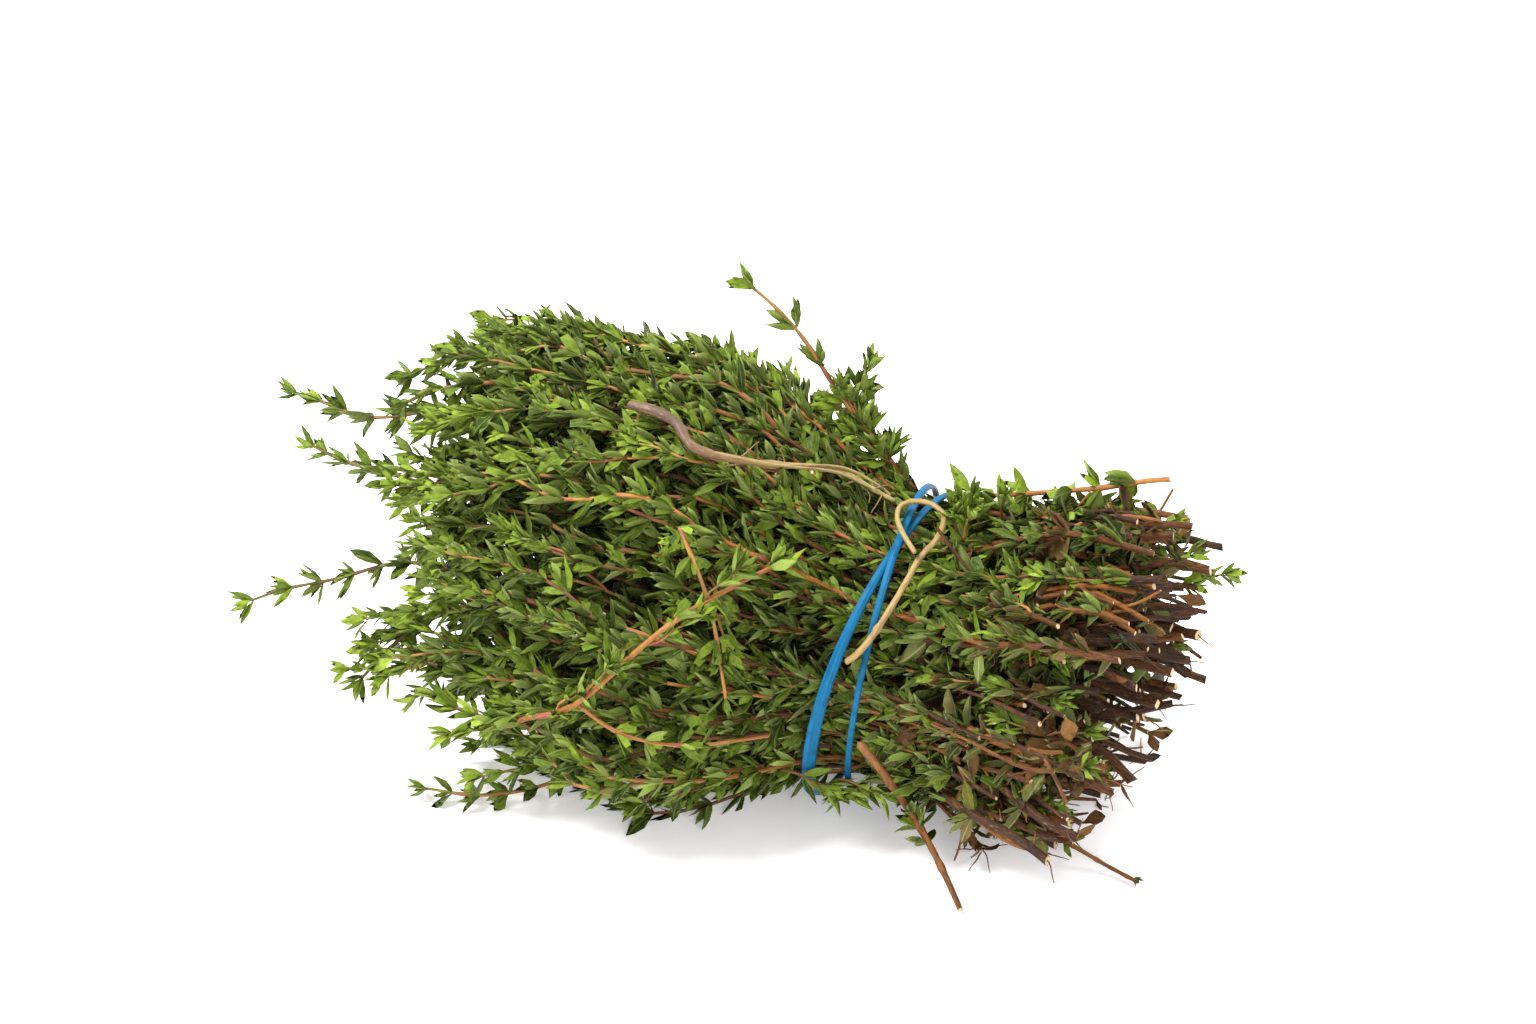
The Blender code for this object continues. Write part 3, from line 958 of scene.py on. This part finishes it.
def grow_node(growth, placed, turn, along, distance, shown):
    """The leaves at one joint of a long stem: an opposite pair, with a fan in each corner."""
    chance = growth.chance
    age = leaf_age(growth, along, distance)
    length = blend(5.2, growth.near(LEAF_LENGTH, 1.3), ease(distance / 14))
    spread = blend(0.45, 0.8, ease(distance / 20)) + growth.near(0, 0.2)
    width, patterns = growth.near(LEAF_WIDTH, 0.04), NARROW_LEAVES
    if along > 8:
        length, width = growth.near(CUT_LEAF_LENGTH, 1.9), growth.near(CUT_LEAF_WIDTH, 0.06)
        spread += growth.near(0.2, 0.4)
        patterns = BROAD_LEAVES + NARROW_LEAVES
    if age > DRY_AGE:
        patterns = DRY_LEAVES
    if shown < BURIED:
        patterns, length = SMALL_LEAVES, length * 1.1
    tuft = round((4.2 + (distance < 45 and along < -92)) * shown * chance.uniform(0.6, 1.2))
    # Painted shade: leaves deep in the bundle get darker colours.
    light = blend(0.1, 1.0, shown)
    growth.whorl(placed, turn, spread, length, width, age, tuft, patterns, light)


def grow_shoot(growth, start, outward, length, backwards=False):
    """A short leafy side shoot that leaves its stem and bends to run beside it."""
    chance = growth.chance
    onward = start.to_3x3().col[2] * (-1 if backwards else 1)
    reach = length * chance.uniform(0.15, 0.32)
    count = max(int(length / 2.0), 4)
    drift = chance.uniform(-1.0, 1.0)
    aside = onward.cross(outward)
    path = []
    for step in range(count + 1):
        share = step / count
        out = reach * (1 - math.exp(-2.4 * share)) + 0.35 * math.sin(share * 7 + drift)
        sideways = aside * (drift * share * 0.18 * length)
        forward = onward * (length * share * 0.92)
        path.append(start.translation + forward + outward * out + sideways)
    if not growth.over_band:
        path = [held_in(point) for point in path]
    radii, ages = even_steps(0.40, 0.24, count), even_steps(0.45, 0.0, count)
    frames = growth.stem(path, radii, ages, sides=4)
    turn = chance.uniform(0, math.pi)
    for index in range(2, count, 2):
        turn += math.pi / 2
        share = index / count
        leaf = blend(*SHOOT_LEAVES, share) * growth.near(1, 0.15)
        age = leaf_age(growth, path[index].x, (1 - share) * length + 2)
        tuft, spread = chance.choice((1, 2, 3)), blend(0.8, 0.55, share)
        growth.whorl(frames[index], turn, spread, leaf, SHOOT_LEAF_WIDTH, age, tuft)
    growth.bud(frames[-1], SHOOT_BUD_LENGTH, 0.03)


def grow_tip(growth, start, direction, length):
    """A short leafy tip that stands on the bundle's surface at `start`, in lane coordinates."""
    placed = direction.to_track_quat("Z", "Y").to_matrix().to_4x4()
    placed.translation = flare(start)
    grow_shoot(growth, placed, placed.to_3x3().col[0], length)


def held_in(point):
    """Keeps a shoot inside the bundle's outline, under the band and above the floor."""
    middle = flare((point.x, 0, WAIST_RADIUS))
    wide = flare((point.x, WAIST_RADIUS, WAIST_RADIUS)).y - middle.y
    tall = flare((point.x, 0, BUNDLE_TOP)).z - middle.z
    offset = waist_offset(point)
    share = math.hypot(offset.y / wide, offset.z / tall)
    most = blend(1.12, 0.98, ease(offset.z / tall / 0.6))
    if share > most and offset.z > 0:
        point = point - offset * (1 - most / share)
    if beside_band(point) < 2:
        offset = waist_offset(point)
        if offset.length > STEM_LIMIT:
            point = point - offset.normalized() * (offset.length - STEM_LIMIT)
    point.z = max(point.z, 0.8)
    return point


def grow_stub(growth, frame_at, side_angle, length, backwards=True):
    """A side branch that was cut or broken short, on the woody end of a stem."""
    chance = growth.chance
    lean = chance.uniform(0.3, 0.9)
    direction = leaning(frame_at.to_3x3(), side_angle, lean, -1 if backwards else 1)
    root = frame_at.translation
    bend = Vector([chance.uniform(-0.3, 0.3) for _ in range(3)])
    path = []
    for share in (1.0, 0.66, 0.33, 0.0):
        path.append(above_floor(root + (direction + bend * share) * length * share, 0.6))
    thick = chance.uniform(0.2, 0.5)
    radii = [thick * share for share in (0.85, 0.95, 1.0, 1.15)]
    ages = [chance.uniform(0.45, 1.0)] * 4
    growth.stem(path, radii, ages, sides=5, slant=chance.uniform(-0.7, 0.7))


def grow_rootlet(growth, start, length):
    """A thin dry fibre that curls away from a woody end."""
    chance = growth.chance
    heading = Vector((chance.uniform(-0.3, 0.9), chance.gauss(0, 0.6), chance.gauss(0, 0.6)))
    turning = Vector([chance.gauss(0, 0.65) for _ in range(3)])
    path = [start]
    for _ in range(7):
        shaking = Vector([chance.gauss(0, 0.25) for _ in range(3)])
        heading = (heading + turning + shaking).normalized()
        path.append(above_floor(path[-1] + heading * length / 7, 0.4))
    age = chance.uniform(0.45, 0.8)
    growth.stem(path, even_steps(0.22, 0.10, 7), [age] * 8, sides=4)


def grow_torn_leaf(growth, at):
    """A dead brown leaf or a flake of bark among the woody ends."""
    chance = growth.chance
    direction = Vector((chance.uniform(-0.3, 1.0), chance.gauss(0, 0.6), chance.gauss(0, 0.6)))
    top = Vector((chance.gauss(0, 1), chance.gauss(0, 1), 1.2))
    length = chance.uniform(3.0, 6.5)
    width = length * chance.uniform(0.13, 0.3)
    age = growth.near(0.97, 0.05)
    growth.leaf(at, direction.normalized(), top, length, width, age, DRY_LEAVES)


def short_stem(growth, side, height, own_cut, stubs):
    """A woody stem of the cut end that stops inside the bundle."""
    chance = growth.chance
    steps = 10
    tip, ring = chance.uniform(2, 24), chance.uniform(1.6, 3.4)
    short = LaneStem(growth, side, height, own_cut, tip, ring)
    alongs = [own_cut + (short.tip - own_cut) * step / steps for step in range(steps + 1)]
    path = [flare(short.lane_point(along)) for along in alongs]
    radii = even_steps(growth.near(0.6, 0.2), 0.25, steps)
    ages = even_steps(1.0, 0.5, steps)
    frames = growth.stem(path, radii, ages, sides=5, slant=chance.uniform(-0.6, 0.6))
    for step in range(1, 6):
        if chance.random() < stubs:
            grow_stub(growth, frames[step], chance.uniform(0, 6.28), chance.uniform(2, 8))
    return frames[0].translation


def lane_sprig(number, side, height):
    """One sprig of the bundle: a cut woody stem that forks, with side shoots and leaves."""
    node = f"sprig_{number:02d}"
    growth = Growth(f"thyme_{node}")
    chance = growth.chance
    growth.high = height / BUNDLE_TOP
    low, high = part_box(node)
    cut, tip = (high.x - ORIGIN.x) / MM, (low.x - ORIGIN.x) / MM
    cut -= TOP_CUT_BACK * ease((height - 40) / 12) + CUT_TRIM * max(cut - LONGEST_CUT, 0)
    longer, aside, upwards = LONG_SPRIGS.get(number, (0.0, 0.0, 0.0))
    mass_tip = tip + longer
    alone = longer > LONG_REACH
    bushy = 10 < longer < LONG_REACH
    leafy_tip = mass_tip if alone else tip
    shoots_from = (tip if bushy else mass_tip) + 12
    from_middle = math.hypot(side, height - WAIST_RADIUS)
    outer = ease((from_middle - 14) / 8)
    forks = 3 if from_middle > 15 else 2

    top_rows = ease((height - 12) / 30)
    main = LaneStem(growth, side, height, cut, tip, 0.4)
    main.reaches_out = (mass_tip, longer, aside, upwards)
    stems = [main]
    first = chance.uniform(0, 2 * math.pi)
    for turn in range(forks):
        own_cut = cut - chance.uniform(0, 32)
        shorter = chance.uniform(-4, 18)
        if bushy:
            shorter = 5 + 0.4 * shorter
        own_tip = leafy_tip + shorter + 6 * ease((22 - height) / 8)
        fork = LaneStem(growth, side, height, own_cut, own_tip, chance.uniform(2.0, 2.8))
        if not alone:
            fork.reaches_out = (mass_tip, longer, aside, upwards * (1.0 if bushy else 0.4))
        fork.phase = first + 2 * math.pi * turn / forks + chance.uniform(-0.4, 0.4)
        stems.append(fork)
    starts = []
    for index, stem in enumerate(stems):
        thick = growth.near(1.05, 0.28) if index == 0 else growth.near(0.55, 0.17)
        leafy_from = stem.cut - chance.uniform(1, 9) * (1.6 - top_rows)
        thin = 0.38 if index == 0 else 0.27
        starts += grow_lane_stem(growth, stem, thick, thin, leafy_from)
    ends = [flare(stem.lane_point(stem.cut)) for stem in stems]
    for _ in range(2):
        ends.append(short_stem(growth, side, height, cut - chance.uniform(0, 20), 0.5 * outer))

    outward_lane = Vector((0, side, height - WAIST_RADIUS)).normalized()
    outside = [start for start in starts if start[2] > 0.3]
    leafy = [start for start in outside if shoots_from < start[0] < WOODY_FROM]
    woody = [start for start in outside if WOODY_FROM <= start[0]]
    shoots = chance.sample(leafy, min(round(2 + 4 * outer), len(leafy)))
    if bushy:
        shoots += sorted(leafy, key=lambda start: start[0])[:4]
    shoots += chance.sample(woody, min(round(1 + 3 * outer), len(woody)))
    for along, start, _ in shoots:
        drift = Vector((0, chance.gauss(0, 1), chance.gauss(0, 1)))
        outward = drift + outward_lane * 0.6
        outward.z = min(outward.z, 0.4)
        outward.normalize()
        length = chance.uniform(12, 30) if along < WOODY_FROM else chance.uniform(7, 16)
        backwards = along > 12 and chance.random() < 0.5
        room = cut - along - 2 if backwards else along - shoots_from + 16
        grow_shoot(growth, start, outward, min(length, room), backwards)

    for along, start, _ in chance.sample(woody, min(round(3 * outer), len(woody))):
        towards_cut = along < cut - 14 and chance.random() < 0.6
        grow_stub(growth, start, chance.uniform(0, 6.28), chance.uniform(4, 12), towards_cut)

    low_rows = ease((34 - height) / 20)
    if number in LEAFY_ENDS:
        grow_tip(growth, Vector((cut - 8, side, height + 1)), Vector((1, -0.1, 0.1)), 9)

    late = [start.translation for along, start, _ in woody if along > cut - 26] + ends
    for _ in range(round((2 + 10 * low_rows) * outer)):
        grow_torn_leaf(growth, chance.choice(late))
    for _ in range(round((2 + 9 * low_rows) * outer)):
        grow_rootlet(growth, chance.choice(late), chance.uniform(3, 8))
    growth.finish(node, "thyme_sprig")


for number, (side, height) in enumerate(lane_centres(), start=1):
    lane_sprig(number, side, height)


# ---------------------------------------------------------------- rubber band


def rubber_band():
    """One loop wound twice, with rounded edges."""
    bm = bmesh.new()
    marks = Marks(bm)
    stations = 2 * BAND_STATIONS
    bmesh.ops.create_circle(bm, segments=12, radius=1.0)
    for vert in bm.verts:
        vert[marks.grain] = Vector((vert.co.x, vert.co.y, 0))
    rim = bm.edges[:]
    first_rim = rim
    run = 0.0
    for station in range(stations):
        turn = 4 * math.pi * station / stations
        if station:
            run += (band_centre(turn) - band_centre(turn - 4 * math.pi / stations)).length
            grown = bmesh.ops.extrude_edge_only(bm, edges=rim)["geom"]
            rim = [part for part in grown if isinstance(part, bmesh.types.BMEdge)]
        section = band_section(turn, band_width(turn), BAND_THICKNESS)
        for vert in {vert for edge in rim for vert in edge.verts}:
            across, outward = vert[marks.grain].x, vert[marks.grain].y
            x = math.copysign(abs(across) ** 0.45, across) / 2
            y = math.copysign(abs(outward) ** 0.7, outward) / 2
            crown = 0.12 * math.cos(2 * math.pi * x)
            vert.co = ORIGIN + flare(section @ Vector((x, y * (1 + crown), 0))) * MM
            vert[marks.grain] = Vector((across, outward, run))
    bmesh.ops.bridge_loops(bm, edges=[*first_rim, *rim])
    bmesh.ops.recalc_face_normals(bm, faces=bm.faces)
    for face in bm.faces:
        face.smooth = True
    mesh = made_mesh("blue_rubber_band", bm, RUBBER)
    stand_for("blue_rubber_band", mesh, "rubber_band")


rubber_band()


# ---------------------------------------------------------------- loose sprigs and stems


def loose_stem(growth, points, steps, ends, ages, tone, knots=(), sides=8, rough=0.07):
    """A stem through `points`, in lane coordinates, thicker at the numbered `knots`.

    `ends` are its radii at its foot and its tip, and `ages` its ages at even steps between.
    Returns its frames.
    """
    path = [flare(point) for point in smooth_path(points, steps)]
    return uneven_stem(growth, path, ends, ages, tone, knots, sides, rough)


def uneven_stem(growth, path, ends, ages, tone, knots=(), sides=8, rough=0.07):
    count = len(path) - 1
    radii, aged = [], []
    for index in range(count + 1):
        radius = blend(*ends, index / count) * growth.near(1, rough)
        radii.append(radius * (1.28 if index in knots else 1.0))
        step, share = divmod(index / count * (len(ages) - 1), 1)
        following = min(int(step) + 1, len(ages) - 1)
        aged.append(blend(ages[int(step)], ages[following], share))
    return growth.stem(path, radii, aged, sides=sides, slant=0.3, tone=tone)


def dress(growth, frames, look, whorls, shoots=(), bud=None, patterns=None):
    """Leaves a loose stem. `look` is its leaves' spread, length, width and age.

    `whorls` are joints, turns and tufts, and `shoots` joints, angles round the stem and lengths.
    """
    for index, turn, tuft in whorls:
        growth.whorl(frames[index], turn, *look, tuft, patterns)
    for index, angle, length in shoots:
        grow_shoot(growth, frames[index], outward_at(frames[index].to_3x3(), angle), length)
    if bud:
        growth.bud(frames[-1], *bud)


def round_waist(*places):
    """Points in lane coordinates from their place along the bundle, angle and radius."""
    return [around(*place) for place in places]


def crossing_sprig():
    growth = Growth("crossing_thyme_sprig", over_band=True)
    points = round_waist((-64, 201, 30.3), (-46, 183, 33.7), (-28, 155, 36.6), (-15, 134, 34.6))
    ages, knots = (0.65, 0.45, 0.35, 0.6), (4, 9, 13, 17, 20)
    frames = loose_stem(growth, points, 7, (0.68, 0.42), ages, 0.55, knots, rough=0.12)
    whorls = ((4, 0.3, 4), (9, 1.9, 4), (13, 0.5, 3), (17, 2.0, 3), (20, 0.4, 3))
    shoots = ((4, 1.6, 9), (7, 2.4, 10), (11, 5.2, 12), (15, 2.2, 10))
    dress(growth, frames, (1.0, 8.0, 0.26, 0.06), whorls, shoots, (6.4, 0.08))
    points = round_waist((-49, 186, 33.0), (-38, 189, 34.3), (-26, 189, 34.6), (-13, 187, 33.2))
    side = loose_stem(growth, points, 6, (0.45, 0.36), (0.5, 0.4, 0.5), 0.55, (5, 11), sides=6)
    dress(growth, side, (0.9, 7.0, 0.24, 0.15), ((5, 0.4, 3), (8, 1.8, 2), (11, 0.2, 3)))
    growth.finish("crossing_sprig", "thyme_sprig")


def cross_twig():
    growth = Growth("crossing_thyme_twig")
    points = round_waist((-34, 138, 33.7), (-26, 153, 33.7), (-21, 176, 33.3))
    frames = loose_stem(growth, points, 8, (0.48, 0.32), (0.25, 0.1, 0.3), 0.7, (3, 7, 11))
    whorls = ((0, 1.2, 3), (3, 0.2, 3), (7, 1.8, 3), (11, 0.4, 3), (13, 1.7, 2))
    shoots = ((5, 0.3, 8), (9, 2.9, 9))
    dress(growth, frames, (1.0, 7.2, 0.26, 0.1), whorls, shoots, (5.4, 0.1))
    growth.finish("cross_twig", "thyme_sprig")


def upright_sprig():
    growth = Growth("upright_thyme_sprig", over_band=True)
    points = [Vector((0.9, 14.9, 57.3)), Vector((-8, 13.0, 63.5)), Vector((-17, 11.0, 67.5))]
    points += [Vector((-25, 9.0, 72.0)), Vector((-36, 7.0, 74.0))]
    ages, knots = (0.5, 0.3, 0.15), (6, 10, 14, 18, 21)
    frames = loose_stem(growth, points, 6, (0.65, 0.38), ages, 0.5, knots)
    whorls = ((1, 0.3, 4), (2, 1.1, 4), (4, 2.2, 5), (5, 0.3, 6), (7, 1.6, 6), (8, 1.2, 7))
    whorls += ((11, 1.9, 5), (15, 0.4, 2), (19, 2.0, 3))
    shoots = ((3, 0.2, 13), (5, 3.0, 12), (7, 5.5, 11), (7, 1.4, 9), (9, 0.4, 8))
    dress(growth, frames, (0.85, 7.6, 0.26, 0.12), whorls, shoots, (6.6, 0.02))
    for along, lean, length in ((-12, 0.1, 9), (-15, 0.35, 11), (-9, 0.15, 6), (-5, 0.2, 4.5)):
        start = Vector((along, 12.5, 58 - 0.5 * along))
        grow_tip(growth, start, Vector((lean, 0.1, 1)), length)
    growth.finish("upright_sprig", "thyme_sprig")


def top_stalk():
    growth = Growth("top_thyme_stalk", over_band=True)
    points = round_waist((56, 71, 35.5), (42, 69.4, 32.8), (24, 67, 33.4), (12, 65, 33.4))
    frames = loose_stem(growth, points, 6, (0.65, 0.5), (0.35, 0.5), 0.6, (6, 11))
    whorls = ((3, 0.4, 2), (6, 1.9, 2), (8, 0.3, 2), (11, 1.8, 2), (14, 0.2, 2), (17, 1.7, 2))
    dress(growth, frames, (1.1, 8.0, 0.36, 0.2), whorls, patterns=BROAD_LEAVES)
    tips = ((14.5, 91, 7), (15.5, 84, 7.5), (17, 95, 7), (16.5, 76, 8), (19.5, 88, 8), (23, 82, 8))
    for along, degrees, length in tips:
        grow_tip(growth, around(along, degrees, 30), Vector((-0.15, -0.2, 1)), length)
    growth.finish("top_stalk", "thyme_sprig")


def low_stem():
    growth = Growth("low_thyme_stem", over_band=True)
    points = [Vector((31, -33.0, 1.3)), Vector((22, -29.5, 6.0))]
    points += round_waist((14, 207, 33.8), (5.0, 186, 33.4))
    frames = loose_stem(growth, points, 7, (0.6, 0.95), (0.72, 0.6, 0.35), 0.3, (5, 10, 16))
    whorls = ((8, 0.3, 1), (10, 1.9, 3), (12, 0.6, 2), (16, 2.0, 1))
    dress(growth, frames, (1.1, 6.4, 0.34, 0.45), whorls, patterns=BROAD_LEAVES)
    tips = (
        ((-11, 203, 32.5), (1, -0.25, -0.05), 11),
        ((-7, 212, 33.0), (1, -0.2, -0.05), 11),
        ((0, 207, 34.2), (1, -0.2, -0.15), 10),
        ((8, 216, 33.2), (-1, -0.35, 0.1), 9),
    )
    for place, direction, length in tips:
        grow_tip(growth, around(*place), Vector(direction), length)
    growth.finish("low_stem", "cut_stem")


def floor_sprig():
    growth = Growth("floor_thyme_sprig")
    points = ((-58, -12.45, 2.9), (-67, -16.4, 2.2), (-78, -18.8, 1.9), (-90, -19.8, 2.2))
    points = [Vector(point) for point in points]
    frames = loose_stem(growth, points, 6, (0.5, 0.33), (0.35, 0.15), 0.4, (4, 10, 14))
    whorls = ((3, 1.2, 2), (6, 0.3, 3), (9, 1.9, 3), (12, 0.2, 3), (15, 1.8, 2))
    dress(growth, frames, (0.8, 6.4, 0.28, 0.25), whorls, bud=(6.2, 0.1))
    growth.finish("floor_sprig", "thyme_sprig")


def floor_twig():
    growth = Growth("floor_thyme_twig")
    points = ((45, -11.3, 3.7), (50, -11.2, 2.7), (56, -11.4, 1.3), (63.5, -12.6, 0.8))
    points = [Vector(point) for point in points]
    frames = loose_stem(growth, points, 6, (0.55, 0.4), (0.5, 0.4), 0.3, (4, 10, 16))
    growth.whorl(frames[1], 0.4, 0.9, 5.0, 0.36, 0.3, 1)
    growth.whorl(frames[-2], 0.4, 0.7, 2.2, 0.36, 0.7, 1)
    growth.finish("floor_twig", "cut_stem")


def tan_branch():
    """A thick rough branch that thins to a dry twig, with two strands beside it."""
    growth = Growth("tan_thyme_branch", DRY)
    points = round_waist(
        (-53, 109, 33.2), (-42.5, 112, 32.8), (-36, 117, 32.8), (-25, 111, 33.1),
        (-12, 93, 33.1), (-4, 89, 33.1), (0.5, 88, 33.1),
    )
    ages, knots = (1.0, 1.0, 0.75, 0.3, 0.1, 0.1), (3, 8, 13, 19, 26)
    frames = loose_stem(growth, points, 6, (1.2, 0.42), ages, 0.5, knots, sides=10, rough=0.16)
    chance = growth.chance
    for first, last, phase in ((12, 30, 0.0), (16, 35, 2.0)):
        strand = []
        for index in range(first, last):
            swing = 2.2 * math.sin(math.pi * (index - first) / (last - first)) + 0.4
            axes = frames[index].to_3x3()
            aside = axes.col[0] * math.cos(phase + index / 9) + axes.col[1] * 0.4
            strand.append(frames[index].translation + aside * swing)
        uneven_stem(growth, strand, (0.42, 0.3), (0.3, 0.1), 0.5, sides=6, rough=0.12)
    for index in (2, 9, 12, 15, 18, 20, 22, 24, 27):
        grow_stub(growth, frames[index], chance.uniform(0, 6.28), chance.uniform(2, 6))
    for index in range(16, 36, 2):
        grow_rootlet(growth, frames[index].translation, chance.uniform(3, 8))
    growth.finish("tan_branch", "dry_stem")


def curled_tendril():
    growth = Growth("curled_thyme_tendril", DRY)
    points = round_waist(
        (0.9, 155, 33.7), (3.0, 151, 35.0), (5.4, 144, 35.2), (7.6, 135, 35.0), (9.8, 122, 34.4),
        (11.0, 112, 34.2), (13.4, 103, 34.7), (13.0, 95, 35.6), (10.0, 91, 36.3), (6.3, 91, 36.6),
        (3.6, 95, 36.6), (3.8, 101, 36.6), (6.4, 107, 36.7), (10.2, 113, 36.9),
    )
    loose_stem(growth, points, 5, (0.72, 0.52), (0.35, 0.2), 0.5, (12, 30, 47), sides=10)
    growth.finish("curled_tendril", "dry_stem")


for grow_piece in (
    crossing_sprig, cross_twig, upright_sprig, top_stalk, low_stem,
    floor_sprig, floor_twig, tan_branch, curled_tendril,
):
    grow_piece()


# ---------------------------------------------------------------- floor, light and camera


def floor():
    bm = bmesh.new()
    bmesh.ops.create_grid(bm, x_segments=2, y_segments=2, size=3.0)
    paint = Paint("studio_floor", Roughness=0.9, Emission_Strength=0.22)
    paint.shader.inputs["Emission Color"].default_value = (1, 0.985, 0.99, 1)
    cloud = paint.noise(paint.place(), 6.0, 2.0)
    colour = paint.mix((0.93, 0.915, 0.925), (0.95, 0.935, 0.945), cloud)
    paint.feed(paint.shader.inputs["Base Color"], colour)
    placed_object("studio_floor", made_mesh("studio_floor", bm, paint.material))


def area_light(name, at, size, watts):
    data = bpy.data.lights.new(name, "AREA")
    data.shape = "DISK"
    data.size = size
    data.energy = watts
    lamp = placed_object(name, data)
    lamp.location = at
    aim = Vector((0, 0, 0.05)) - Vector(at)
    lamp.rotation_euler = aim.to_track_quat("-Z", "Y").to_euler()


def studio():
    world = bpy.data.worlds.new("studio")
    world.use_nodes = True
    background = world.node_tree.nodes["Background"]
    background.inputs["Color"].default_value = (1.0, 0.99, 0.995, 1)
    background.inputs["Strength"].default_value = 0.86
    scene = bpy.context.scene
    scene.world = world
    scene.view_settings.view_transform = "Standard"
    area_light("key", (-0.5, -0.25, 0.95), 0.5, 23.0)
    area_light("back", (0.35, 0.75, 0.75), 0.6, 8.0)
    area_light("fill", (0.7, -0.8, 0.5), 0.8, 7.0)


def camera():
    """The view from in front, above and a little towards the cut ends."""
    turn, tilt = math.radians(CAMERA_TURN), math.radians(CAMERA_TILT)
    right = Vector((math.cos(turn), math.sin(turn), 0))
    level = Vector((math.sin(turn), -math.cos(turn), 0))
    back = level * math.cos(tilt) + Vector((0, 0, math.sin(tilt)))
    up = back.cross(right)
    waist = ORIGIN + Vector((0, 0, WAIST_RADIUS + 4)) * MM
    target = waist - right * CAMERA_ASIDE + up * CAMERA_LIFT
    data = bpy.data.cameras.new("camera")
    data.lens = CAMERA_LENS
    made = placed_object("camera", data)
    made.matrix_world = Matrix((right, up, back)).transposed().to_4x4()
    made.matrix_world.translation = target + back * CAMERA_DISTANCE
    bpy.context.scene.camera = made


floor()
studio()
camera()
